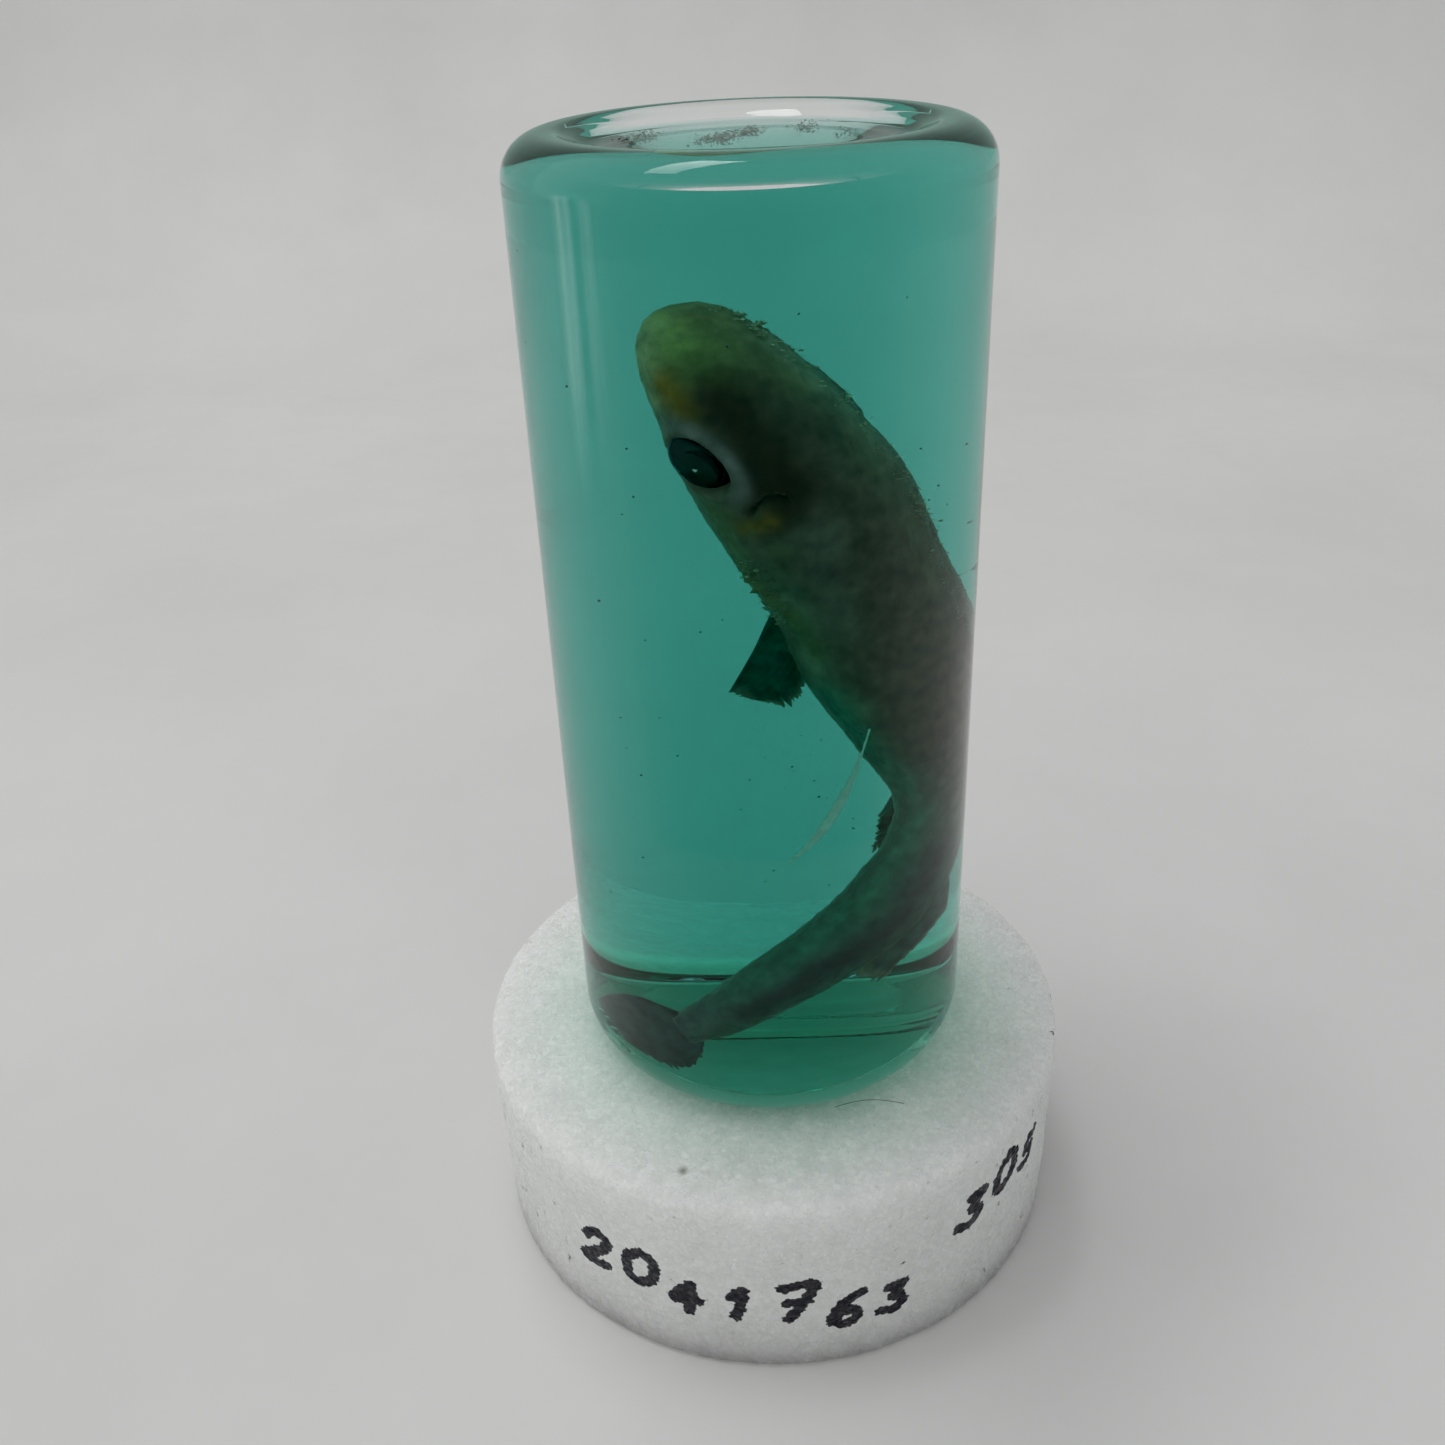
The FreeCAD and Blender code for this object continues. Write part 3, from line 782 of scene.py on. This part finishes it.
def eye_frame(side):
    """Centre of an eye and its long, high and outward directions; side is 1 for left and -1 for right."""
    place_, forward, dorsal, left, _, _ = (item[0] for item in spine(EYE_STATION))
    centre = place_ + left * side * EYE_REACH + forward * EYE_LEAD - dorsal * EYE_DROP
    outward = unit(left * side + dorsal * EYE_TURN)
    long = unit(forward - dorsal * EYE_TILT)
    long = unit(long - outward * (long @ outward))
    high = np.cross(outward, long)
    return centre, long, high * np.sign(high @ dorsal), outward


def eye_reach(points, side):
    """Distance from the eye's centre in parts of its half lengths, and which points lie on its side."""
    centre, long, high, outward = eye_frame(side)
    away = points - centre
    level = np.hypot(away @ long / EYE_LONG, away @ high / EYE_HIGH)
    return level, away @ outward > -2


SPIRACLE = ((4.45, 71), (4.38, 64), (4.34, 56), (4.36, 50), (4.44, 45))


def sculpt(points, normals):
    """Folds, openings and worn skin over the plain trunk."""
    lift = 0.16 * speckle(points, 0.35) + 0.10 * speckle(points, 1.1, 3.0)
    for side in (1, -1):
        level, facing = eye_reach(points, side)
        lid = 0.5 * np.exp(-((level - 1.25) / 0.22)**2)
        hollow = -2.6 / (1 + np.exp(np.minimum((level - 0.97) * 30, 60)))
        lift += (lid + hollow) * facing
    lift -= 1.4 * along(points, SPIRACLE, 0.5)
    lift += 0.5 * along(points, ((4.62, 72), (4.55, 62), (4.52, 52)), 0.9)
    for index in range(5):
        station = 5.15 + 0.17 * index
        for mirror in (1, -1):
            places = ((station, mirror * 88), (station + 0.06, mirror * 104), (station, mirror * 122))
            lift -= 0.7 * along(points, places, 0.5)
            lift += 0.25 * along(points, tuple((s + 0.07, a) for s, a in places), 0.7)
    mouth = ((3.2, 140), (3.6, 158), (3.75, 180), (3.6, 202), (3.2, 220))
    lift -= 1.2 * along(points, mouth, 0.7)
    for angle in (150, 210):
        lift -= 0.9 * near(points, spot(2.3, angle), 0.9)
    throat = along(points, ((5.45, 112), (5.75, 104), (5.95, 96)), 1.6)
    lift += throat * (0.5 + 0.9 * speckle(points, 1.6, 9.0))
    lift += 0.5 * along(points, ((4.9, 8), (5.6, 352), (6.4, 356)), 1.3) * speckle(points, 2.2, 5.0)
    return points + normals * lift[:, None]


# Broad colours of the dark and pale skin, near the head and near the tail.
DARK_SKIN, DARK_REAR = np.array((0.20, 0.098, 0.072)), np.array((0.055, 0.13, 0.095))
PALE_SKIN, PALE_REAR = np.array((0.42, 0.28, 0.18)), np.array((0.10, 0.24, 0.17))
LID = np.array((0.40, 0.21, 0.20))
# Soft patches of colour over the skin: places, size in millimetres, colour, strength.
PATCHES = (
    (((0.0, 0), (1.6, 38)), 7.0, (0.42, 0.33, 0.10), 1.0),
    (((1.2, 330), (2.2, 334), (3.2, 332)), 4.5, (0.36, 0.20, 0.09), 0.9),
    (((0.6, 100), (1.3, 98), (2.5, 104)), 2.4, (0.62, 0.42, 0.22), 0.9),
    (((2.3, 80), (2.9, 74)), 2.2, (0.60, 0.20, 0.02), 0.95),
    (((3.0, 46), (3.4, 42), (3.8, 42), (4.3, 40)), 4.6, (0.050, 0.016, 0.005), 1.0),
    (((3.9, 56), (4.15, 56)), 2.0, (0.030, 0.012, 0.006), 1.0),
    (((4.3, 48), (4.6, 50)), 3.2, (0.050, 0.016, 0.005), 0.9),
    (((2.6, 326), (3.6, 326), (4.6, 328)), 2.6, (0.50, 0.30, 0.21), 0.9),
    (((5.7, 82), (6.3, 88), (7.0, 94), (7.4, 82)), 2.8, (0.40, 0.29, 0.19), 0.85),
    (((4.4, 98), (4.9, 106), (5.3, 112)), 2.8, (0.32, 0.21, 0.09), 0.85),
    (((4.62, 80), (4.62, 62)), 1.6, (0.36, 0.13, 0.02), 0.9),
    (((5.05, 66), (5.4, 84), (5.6, 96)), 2.6, (0.20, 0.15, 0.08), 0.7),
    (((5.0, 38), (5.6, 54), (6.2, 60)), 3.2, (0.26, 0.15, 0.12), 0.8),
    (((5.45, 116), (5.8, 104)), 2.0, (0.40, 0.26, 0.12), 0.9),
    (((4.4, 346), (5.2, 342), (6.2, 342)), 3.0, (0.28, 0.16, 0.10), 0.8),
    (((6.0, 92), (6.5, 85)), 2.2, (0.20, 0.15, 0.05), 0.8),
    (((7.2, 96), (8.0, 92), (8.8, 84)), 3.6, (0.10, 0.22, 0.15), 0.9),
    (((9.6, 70), (11.0, 72), (12.5, 72), (13.4, 68)), 3.0, (0.07, 0.26, 0.17), 0.8),
    (((10.2, 20), (11.2, 8), (12.4, 24), (13.6, 30)), 3.0, (0.02, 0.03, 0.03), 0.85),
    (((14.3, 90), (15.0, 90)), 3.0, (0.05, 0.09, 0.08), 0.8),
)


def skin_tint(points, station, angle):
    """Broad skin colours: dark back and flanks, paler belly, the patches above, and painted shade in the spiracle
    slits.
    """
    back = 0.5 + 0.5 * np.cos(np.radians(angle))
    belly = np.clip((0.42 - back) * 3.2, 0, 1)[:, None]
    rear = np.clip((station - 8.2) / 2.2, 0, 1)[:, None]
    dark = DARK_SKIN * (1 - rear) + DARK_REAR * rear
    pale = PALE_SKIN * (1 - rear) + PALE_REAR * rear
    colour = dark * (1 - belly) + pale * belly
    for places, size, shade, strength in PATCHES:
        share = (strength * np.clip(along(points, places, size), 0, 1))[:, None]
        colour = colour * (1 - share) + np.array(shade) * share
    level, facing = eye_reach(points, 1)
    centre, _, high, _ = eye_frame(1)
    above = np.clip(0.5 + (points - centre) @ high / EYE_HIGH, 0, 1)
    lid = (np.exp(-((level - 1.42) / 0.34)**2) * above * facing * 0.95)[:, None]
    colour = colour * (1 - lid) + LID * lid
    # painted shade: the spiracle slits are painted near black
    slit = np.clip(along(points, SPIRACLE, 0.45), 0, 1)[:, None]
    colour = colour * (1 - slit) + 0.006 * slit
    blotch = 1 + 0.35 * speckle(points, 0.5, 12.0)
    return np.clip(colour * blotch[:, None], 0.004, 0.9)


def pup_body(paint):
    """The trunk from snout to tail."""
    share = np.linspace(0, 1, BODY_RINGS)
    stations = LAST * (share - 0.035 * np.sin(2 * math.pi * share))
    angles = np.linspace(0, 360, RING_POINTS, endpoint=False)
    all_stations = np.repeat(stations, RING_POINTS)
    all_angles = np.tile(angles, BODY_RINGS)
    points = skin_points(all_stations, all_angles)
    centres = np.repeat(spine(stations)[0], RING_POINTS, axis=0)
    shaped = sculpt(points, unit(points - centres))
    tips = np.array([spine(stations[0])[0][0] + spine(0)[1][0] * 0.5, spine(stations[-1])[0][0]])
    body = solid("pup_trunk", np.vstack([shaped, tips]), capped_grid(BODY_RINGS, RING_POINTS))
    tint = skin_tint(points, all_stations, all_angles)
    store_tint(body, np.vstack([tint, tint[:1], tint[-1:]]))
    place(body, paint, "contents", "specimen_skin", "specimen_body")


# Frayed skin: first and last station, lowest and highest angle, number of shreds.
FRAYED = ((1.4, 7.0, 306, 334, 700), (4.9, 5.7, 318, 332, 160), (5.1, 6.2, 92, 128, 240))


def shreds(paint):
    """Frayed skin along the back and the throat."""
    generator = np.random.default_rng(31)
    centres, sizes = [], []
    for first, last, low, high, count in FRAYED:
        for _ in range(count):
            angle = generator.uniform(low, high)
            skin = spot(generator.uniform(first, last), angle)
            centres.append(tuple(skin + generator.normal(0, 0.3, 3)))
            sizes.append(0.08 + 0.4 * generator.random()**4)
    crumbs("frayed_skin", paint, "contents", "pale_tissue", centres, sizes, 0.5, generator)


# Parts of the eyeball, foremost first: centre and half lengths in parts of the eye's own, and colour. The first
# part is a painted glint, a white highlight.
EYE_PARTS = (
    ((0.02, -0.24), (0.05, 0.05), (0.9, 0.9, 0.8)),
    ((-0.02, -0.10), (0.56, 0.42), (0.02, 0.04, 0.028)),
    ((-0.02, 0.10), (0.60, 0.46), (0.004, 0.004, 0.005)),
    ((0.0, 0.0), (0.74, 0.74), (0.02, 0.035, 0.032)),
)
EYE_WHITE = (0.012, 0.022, 0.022)


def eye_shade(across, up):
    """Colour of the eyeball at a place: a painted glint, lens, the crescent over it, and the dull ring outside.
    """
    for (x, y), (wide, high), shade in EYE_PARTS:
        if math.hypot((across - x) / wide, (up - y) / high) < 1:
            return shade
    return EYE_WHITE


def pup_eye(side, paint):
    """An eyeball behind the lids: dark ring, dull lens, a black crescent and a painted glint."""
    centre, long, high, outward = eye_frame(side)
    rings, columns = 48, 96
    points, colours = [], []
    for row in range(1, rings):
        polar = math.pi * row / rings
        for column in range(columns):
            turn = 2 * math.pi * column / columns
            across, up = math.sin(polar) * math.cos(turn), math.sin(polar) * math.sin(turn)
            flat = centre + long * across * EYE_LONG * 1.1 + high * up * EYE_HIGH * 1.25
            points.append(flat + outward * math.cos(polar) * EYE_DEEP)
            colours.append(eye_shade(across, up if math.cos(polar) > 0 else 1.0))
    points += [centre + outward * EYE_DEEP, centre - outward * EYE_DEEP]
    colours += [colours[0], colours[-1]]
    label = "left" if side > 0 else "right"
    eye = solid(f"pup_eye_{label}", points, capped_grid(rings - 1, columns))
    store_tint(eye, np.array(colours))
    place(eye, paint, "contents", "specimen_eye", f"eye_{label}")


# Fin outlines: leading edge and trailing edge from the root out, as (rearward, outward) millimetres.
PECTORAL = (((-3.0, 6.0), (0.5, 10.5), (6.0, 15.0), (11.5, 20.0)),
            ((7.5, 6.0), (13.0, 10.0), (17.0, 14.0), (14.5, 17.6)))
PELVIC = (((-4.0, 4.0), (0.0, 7.8), (4.0, 10.4)), ((6.0, 4.0), (11.5, 8.0), (11.0, 12.0)))
DORSAL = (((-5.0, 5.0), (-1.6, 9.6), (2.0, 12.0)), ((5.4, 5.0), (8.3, 9.4), (6.5, 13.0)))
SECOND_DORSAL = (((-9.0, 4.0), (-7.0, 8.0), (-3.5, 11.2)), ((12.0, 3.0), (12.4, 6.4), (11.0, 9.0)))
CAUDAL = (((-3.5, 1.5), (4.0, 7.0), (10.0, 7.6), (15.5, 6.0)),
          ((-3.0, -1.5), (0.5, -6.5), (5.5, -8.0), (12.0, -2.5)))
# Fins: name, spine station, lift to the back, reach to the side, outline, thickness, fraying, bend.
PAIRED_FINS = (
    ("pectoral", 6, -0.50, 0.85, PECTORAL, 1.2, 0.16, 1.0),
    ("pelvic", 9, -0.85, 0.5, PELVIC, 0.9, 0.18, 0.8),
)
BACK_FINS = (
    ("first_dorsal", 7, 0.8, -0.6, DORSAL, 1.1, 0.2, 0.6),
    ("second_dorsal", 11, 0.75, -0.66, SECOND_DORSAL, 1.6, 0.12, 0.6),
)
# Colours at the root, over the blade and on the fringe.
FIN_SHADES = ((0.24, 0.17, 0.06), (0.04, 0.13, 0.09), (0.26, 0.30, 0.20))
TAIL_SHADES = ((0.05, 0.10, 0.09), (0.03, 0.07, 0.06), (0.06, 0.10, 0.08))
SEED_STEP = 7.3
TAIL_REARWARD = np.array((-0.86, 0.30, -0.41))
TAIL_UPWARD = np.array((-0.35, 0.10, 0.93))


def fin_sheet(name, base, rearward, outward, edges, thickness, fray, bend, seed):
    """A thin closed blade: thick at the root, thin and ragged at its trailing edge, with rays."""
    rows, columns = 64, 72
    span = np.linspace(0, 1, rows)
    chord = np.linspace(0, 1, columns)
    steps = np.linspace(0, len(edges[0]) - 1, rows)
    lead, trail = through(edges[0], steps), through(edges[1], steps)
    normal = unit(np.cross(rearward, outward))
    ragged = np.array([noise.fractal(Vector((s * 22 + seed, seed, 0)), 0.6, 2.0, 5) for s in span])
    reach = chord * (1 + (fray * ragged * span**0.5)[:, None] * chord**3)
    flat = lead[:, None] + (trail - lead)[:, None] * reach[..., None]
    tip = np.array([noise.fractal(Vector((c * 14, seed, 4.0)), 0.6, 2.0, 5) for c in chord])
    flat[..., 1] += (span**6)[:, None] * tip[None, :] * fray * 3
    sheet = base + flat[..., :1] * rearward + flat[..., 1:] * outward
    curve = bend * span[:, None]**2 + 0.4 * np.sin(chord * 9 + seed)[None, :] * span[:, None]
    sheet = sheet + curve[..., None] * normal
    rays = 0.06 * np.cos(chord * 60 + span[:, None] * 6)
    body = (1 - 0.8 * chord**0.8) * (1 - 0.75 * span)[:, None]
    rim = np.minimum(1, np.minimum(chord, 1 - chord) * 16)
    half = (thickness / 2) * np.clip(body, 0.08, 1) * (0.15 + 0.85 * rim) + np.clip(rays, 0, 1) * rim
    fin = sewn_sheet(name, sheet, normal * half[..., None])
    grid_span, grid_chord = np.meshgrid(span, chord, indexing="ij")
    return fin, grid_span.ravel(), grid_chord.ravel()


def fin_tint(fin, span, chord, shades):
    """Root colour into blade colour out along the fin, with a paler trailing fringe."""
    root, blade, fringe = np.array(shades)
    out = np.clip(span * 2.2, 0, 1)[:, None]
    colour = root * (1 - out) + blade * out
    edge = np.clip((np.maximum(chord, span * 0.96) - 0.86) * 9, 0, 1)[:, None] * out
    colour = colour * (1 - edge) + fringe * edge
    store_tint(fin, np.vstack([colour, colour]))


def pup_fin(name, paint, shades, *shape):
    """One fin with its colours; shape is what fin_sheet asks for."""
    fin, span, chord = fin_sheet(f"pup_{name}", *shape)
    fin_tint(fin, span, chord, shades)
    place(fin, paint, "contents", "specimen_fin", name)


def pup_fins(paint):
    """The paired fins, the two on the back and the tail fin."""
    wanted = [(f"{fin[0]}_fin_{label}", side, *fin[1:])
              for fin in PAIRED_FINS for label, side in (("left", 1), ("right", -1))]
    wanted += [(f"{fin[0]}_fin", 1, *fin[1:]) for fin in BACK_FINS]
    for index, (name, side, station, lift, aside, edges, thickness, fray, bend) in enumerate(wanted):
        place_, forward, dorsal, left, _, _ = (item[0] for item in spine(station))
        away = unit(dorsal * lift + left * aside * side)
        pup_fin(name, paint, FIN_SHADES, place_, -forward, away, edges, thickness, fray, bend * side,
                index * SEED_STEP)
    rearward = unit(TAIL_REARWARD)
    upward = unit(TAIL_UPWARD - rearward * (TAIL_UPWARD @ rearward))
    tail = np.array(STATIONS[-1][0])
    pup_fin("caudal_fin", paint, TAIL_SHADES, tail, rearward, upward, CAUDAL, 2.2, 0.10, 0.3, 3.1)


STRAND_ARC = ((13.4, -8.6, 106.0), (9.4, -14.0, 94.0), (2.8, -13.0, 83.5))


def strand(paint):
    """A ribbon of tissue: narrow above, wider and torn below."""
    start, middle, end = np.array(STRAND_ARC)
    rows, columns = 90, 9
    share = np.linspace(0, 1, rows)[:, None]
    control = 2 * middle - (start + end) / 2
    centre = start * (1 - share)**2 + control * 2 * share * (1 - share) + end * share**2
    ahead = unit(np.gradient(centre, axis=0))
    across = unit(np.cross(ahead, np.array((0.0, -1.0, 0.6))))
    normal = np.cross(ahead, across)
    width = 0.16 + 0.62 * np.sin(np.pi * np.clip(share * 1.12 - 0.12, 0, 1))**1.4
    torn = np.array([noise.noise(Vector((s * 30, 2.0, 5.0))) for s in share[:, 0]])[:, None]
    side = np.linspace(-1, 1, columns)[None, :]
    reach = side * width * (1 + np.where(side > 0, 0.5, 0.15) * torn)
    sheet = centre[:, None] + across[:, None] * reach[..., None]
    sheet += normal[:, None] * (0.10 * np.sin(share * 25) * side)[..., None]
    half = 0.10 * np.sqrt(np.clip(1 - side**2, 0.02, 1))[..., None] * np.ones((rows, 1, 1))
    ribbon = sewn_sheet("loose_strand", sheet, normal[:, None] * half)
    place(ribbon, paint, "contents", "pale_tissue", "tissue_strand")


# ---- small stuff

def crumbs(name, paint, body, slot, centres, sizes, flat, generator):
    """Many small irregular grains in one mesh."""
    ring = [(math.cos(a), math.sin(a), 0.0) for a in np.linspace(0, 2 * math.pi, 6, endpoint=False)]
    shape = np.array([(0, 0, 1.0)] + ring + [(0, 0, -1.0)])
    sides = [(0, 1 + k, 1 + (k + 1) % 6) for k in range(6)] + [(7, 1 + (k + 1) % 6, 1 + k) for k in range(6)]
    points, faces = [], []
    for centre, size in zip(centres, sizes):
        jitter = shape * (1, 1, flat) * generator.uniform(0.6, 1.4, shape.shape) * size
        turn = Matrix.Rotation(generator.uniform(0, 6.28), 3, "Z")
        if flat == 1:
            turn = turn @ Matrix.Rotation(generator.uniform(0, 6.28), 3, "X")
        start = len(points)
        points += [tuple(turn @ Vector(point) + Vector(centre)) for point in jitter]
        faces += [tuple(start + corner for corner in side) for side in sides]
    place(mesh_object(name, points, faces, smooth=False), paint, body, slot)


# Drifts of dust in the recess: place, half widths across and deep, number of grains.
DRIFTS = (
    (-15.5, 10.5, 3.2, 5.0, 260), (-3.6, 10.5, 3.6, 5.0, 420), (0.5, 14.0, 2.2, 4.0, 260),
    (9.0, 14.5, 2.6, 5.0, 160), (14.0, 9.0, 2.2, 6.0, 70),
)


def recess_dust(paint):
    """Dust that has settled in the dish of the upturned base."""
    generator = np.random.default_rng(23)
    centres, sizes = [], []
    for x, y, wide, deep, count in DRIFTS:
        for across, along_ in generator.normal(0, 0.5, (count, 2)):
            radius = math.hypot(x + across * wide, y + along_ * deep)
            if radius < RECESS_FLOOR_RADIUS - 1:
                centres.append((x + across * wide, y + (along_ + across * 0.35) * deep, dish(radius) + 0.05))
                sizes.append(0.08 + 0.16 * generator.random()**2)
    crumbs("recess_dust", paint, "jar", "clear_glass", centres, sizes, 0.5, generator)


HAIR_RADIUS = 0.05


def stray_hair(paint):
    """A short dark hair that lies on the foam in front of the jar."""
    share = np.linspace(0, 1, 30)
    across, forward = 10.5 + 12.0 * share, -31.2 + 1.3 * np.sin(np.pi * share)
    centres = np.stack([across, forward, FOAM_HEIGHT + 0.35 + 0.5 * share], axis=1)
    angles = np.linspace(0, 2 * math.pi, 5, endpoint=False)
    ring = HAIR_RADIUS * np.stack([0 * angles, np.cos(angles), np.sin(angles)], axis=1)
    points = (centres[:, None] + ring).reshape(-1, 3)
    faces = grid_faces(len(centres), len(ring), True)
    faces += [tuple(range(len(ring)))[::-1], tuple(range(len(points) - len(ring), len(points)))]
    hair = solid("stray_hair", points, faces)
    place(hair, paint, "stand", "white_foam")


SPECKS = 170
# Denser swarms of specks: centre, spread, number.
SWARMS = (((8.0, -13.0, 103.0), 4.0, 26), ((21.0, -7.0, 141.0), 2.6, 16))


def drifting_specks(paint):
    """Dark scraps in the liquid, thickest below the fin and beside the frayed back."""
    generator = np.random.default_rng(11)
    centres, sizes = [], []
    while len(centres) < SPECKS:
        x, y = generator.uniform(-30, 30, 2)
        if math.hypot(x, y) < 30:
            centres.append((x, y, generator.uniform(48, 184)))
            sizes.append(0.05 + 0.15 * generator.random()**3)
    for centre, spread, count in SWARMS:
        for _ in range(count):
            centres.append(tuple(np.array(centre) + generator.normal(0, spread, 3)))
            sizes.append(0.06 + 0.14 * generator.random()**2)
    crumbs("drifting_specks", paint, "contents", "specimen_skin", centres, sizes, 1, generator)


# ---- stage, camera and light

def floor():
    """A pale sheet that lies flat and then rises behind."""
    profile = [(-1.6, 0.0), (-0.3, 0.0), (0.56, 0.0)]
    profile += [(0.56 + 0.28 * math.sin(a), 0.28 * (1 - math.cos(a))) for a in np.radians(range(6, 72, 6))]
    profile += [(1.35, 1.6)]
    points = [(x / MM, y / MM, z / MM) for y, z in profile for x in (-2.2, 2.2)]
    faces = [(2 * k, 2 * k + 1, 2 * k + 3, 2 * k + 2) for k in range(len(profile) - 1)]
    sheet = mesh_object("floor", points, faces)
    paint = Paint("backdrop", Specular_IOR_Level=0.2)
    shade = paint.wander(5.0, (0.57, 0.57, 0.565), (0.63, 0.63, 0.625), detail=6.0, roughness=0.6)
    paint.feed(Base_Color=shade, Roughness=paint.wander(60.0, 0.5, 0.7),
               Normal=paint.bump(paint.noise(18.0, detail=4.0), 0.002, 0.3))
    dress(sheet, paint)


def reflected_card(name, points, faces, paint, fade):
    """A card that only reflections see; fade says how solid it is at each point."""
    card = mesh_object(name, points, faces)
    store(card, "fade", fade)
    dress(card, paint)
    card.visible_camera = False
    card.visible_diffuse = False
    card.visible_transmission = False
    card.visible_shadow = False


def dark_card():
    """A dark card round the camera's side of the jar."""
    columns, radius, spread, high = 33, 170.0, 66.0, 330.0
    places = np.linspace(-spread, spread, columns)
    angles = np.radians(places)
    points = [(radius * math.sin(a), -radius * math.cos(a), level) for level in (0.0, high) for a in angles]
    paint = Paint("card_black", Base_Color=(0.02, 0.02, 0.02, 1), Roughness=0.9)
    paint.feed(Alpha=paint.attribute("fade"))
    fade = np.tile(np.clip(3.0 * (1 - np.abs(places) / spread), 0, 1), 2)
    reflected_card("dark_card", points, grid_faces(2, columns, False), paint, fade)


def pale_card():
    """A streaky lit card to the left, for pale upright bands down the jar."""
    columns, rows = 9, 7
    places = np.linspace(-170.0, 60.0, columns)
    levels = np.linspace(4.0, 215.0, rows)
    points = [(-360.0, y, z) for z in levels for y in places]
    paint = Paint("card_pale", Base_Color=BLACK, Roughness=0.9, Emission_Strength=3.6)
    bands = paint.wander(20.0, 0.0, 1.0, (0.42, 0.62), stretch=(1, 1, 0.12))
    solidity = paint.attribute("fade")
    paint.feed(Emission_Color=paint.mix(1.0, bands, solidity, "MULTIPLY"), Alpha=solidity)
    inward = 1 - np.abs(np.linspace(-1, 1, columns))
    above = np.clip((levels - levels[0]) / 70, 0, 1)
    fade = np.outer(above, np.clip(inward * 2, 0, 1)).ravel()
    reflected_card("pale_card", points, grid_faces(rows, columns, False), paint, fade)


def far_card():
    """A sea-green board behind the jar, which tints the grazing view of the recess."""
    half_width, back, low, high = 320, 330, 190, 460
    corners = [(x, back, z) for z in (low, high) for x in (-half_width, half_width)]
    paint = Paint("far_glow", Base_Color=BLACK, Emission_Color=(0.30, 0.45, 0.40, 1), Emission_Strength=1.0)
    reflected_card("far_card", corners, grid_faces(2, 2, False), paint, np.ones(len(corners)))


LENS = 35.63
CAMERA_PLACE = Vector((0.0, -0.214966, 0.220139))
CAMERA_RIGHT = Vector((0.9992, 0.0115, -0.0383))
CAMERA_UP = Vector((0.02771, 0.49136, 0.87052))


def camera():
    """The photographed angle: close, a little above the jar, looking down at the stand."""
    made = bpy.data.cameras.new("camera")
    made.lens = LENS
    made.sensor_width = 36
    made.clip_start = 0.01
    item = bpy.data.objects.new("camera", made)
    back = CAMERA_RIGHT.cross(CAMERA_UP).normalized()
    up = back.cross(CAMERA_RIGHT).normalized()
    turn = Matrix((CAMERA_RIGHT, up, back)).transposed().to_4x4()
    item.matrix_world = Matrix.Translation(CAMERA_PLACE) @ turn
    bpy.context.scene.collection.objects.link(item)
    bpy.context.scene.camera = item


SKY_LOW = (0.46, 0.465, 0.47, 1)
SKY_HIGH = (1.0, 1.0, 0.99, 1)
SKY_STRENGTH = 0.9
BRIGHT_SIDE = Vector((-0.62, -0.25, 0.74))


def sky():
    """Soft light all round, stronger from the upper left."""
    world = bpy.data.worlds.new("studio")
    bpy.context.scene.world = world
    world.use_nodes = True
    tree = world.node_tree
    background = tree.nodes["Background"]
    coordinate = tree.nodes.new("ShaderNodeTexCoord")
    toward = tree.nodes.new("ShaderNodeVectorMath")
    toward.operation = "DOT_PRODUCT"
    toward.inputs[1].default_value = BRIGHT_SIDE.normalized()
    ramp = tree.nodes.new("ShaderNodeValToRGB")
    ramp.color_ramp.elements[0].color = SKY_LOW
    ramp.color_ramp.elements[1].color = SKY_HIGH
    tree.links.new(coordinate.outputs["Generated"], toward.inputs[0])
    tree.links.new(toward.outputs["Value"], ramp.inputs["Fac"])
    tree.links.new(ramp.outputs["Color"], background.inputs["Color"])
    background.inputs["Strength"].default_value = SKY_STRENGTH


def lamp(name, place_, aim, size, power):
    """A soft rectangular lamp, in metres and watts."""
    made = bpy.data.lights.new(name, "AREA")
    made.shape = "RECTANGLE"
    made.size, made.size_y = size
    made.energy = power
    item = bpy.data.objects.new(name, made)
    item.location = place_
    item.rotation_euler = (Vector(aim) - Vector(place_)).to_track_quat("-Z", "Y").to_euler()
    bpy.context.scene.collection.objects.link(item)


# ---- the whole

def main():
    """Sets the view and the stage, then adds every piece."""
    view = bpy.context.scene.view_settings
    view.view_transform = "Standard"
    view.use_curve_mapping = True
    view.curve_mapping.black_level = (BLACK_LEVEL,) * 3
    paths = bpy.context.scene.cycles
    paths.max_bounces = paths.transmission_bounces = paths.glossy_bounces = LIGHT_BOUNCES
    camera()
    sky()
    floor()
    dark_card()
    pale_card()
    far_card()
    lamp("overhead", (-0.35, 0.25, 1.5), (0, 0, 0.1), (0.9, 0.25), 6.5)
    glass_jar(clear_glass(), wet_glass(), clear_glass("base_glass", LIQUID_IOR * BASE_STEP), soaked_base())
    liquid(tinted_liquid())
    foam_stand(white_foam())
    pup_body(specimen_skin())
    eye_paint = specimen_eye()
    pup_eye(1, eye_paint)
    pup_eye(-1, eye_paint)
    pup_fins(specimen_fin())
    strand(pale_tissue())
    shreds(worn_skin())
    specks = dark_specks()
    drifting_specks(specks)
    recess_dust(dust())
    stray_hair(specks)
    for node, paint in (("screw_cap", cap_plastic()), ("cap_liner", liner_foam())):
        dress(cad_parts[node], paint)


main()
bpy.context.view_layer.update()
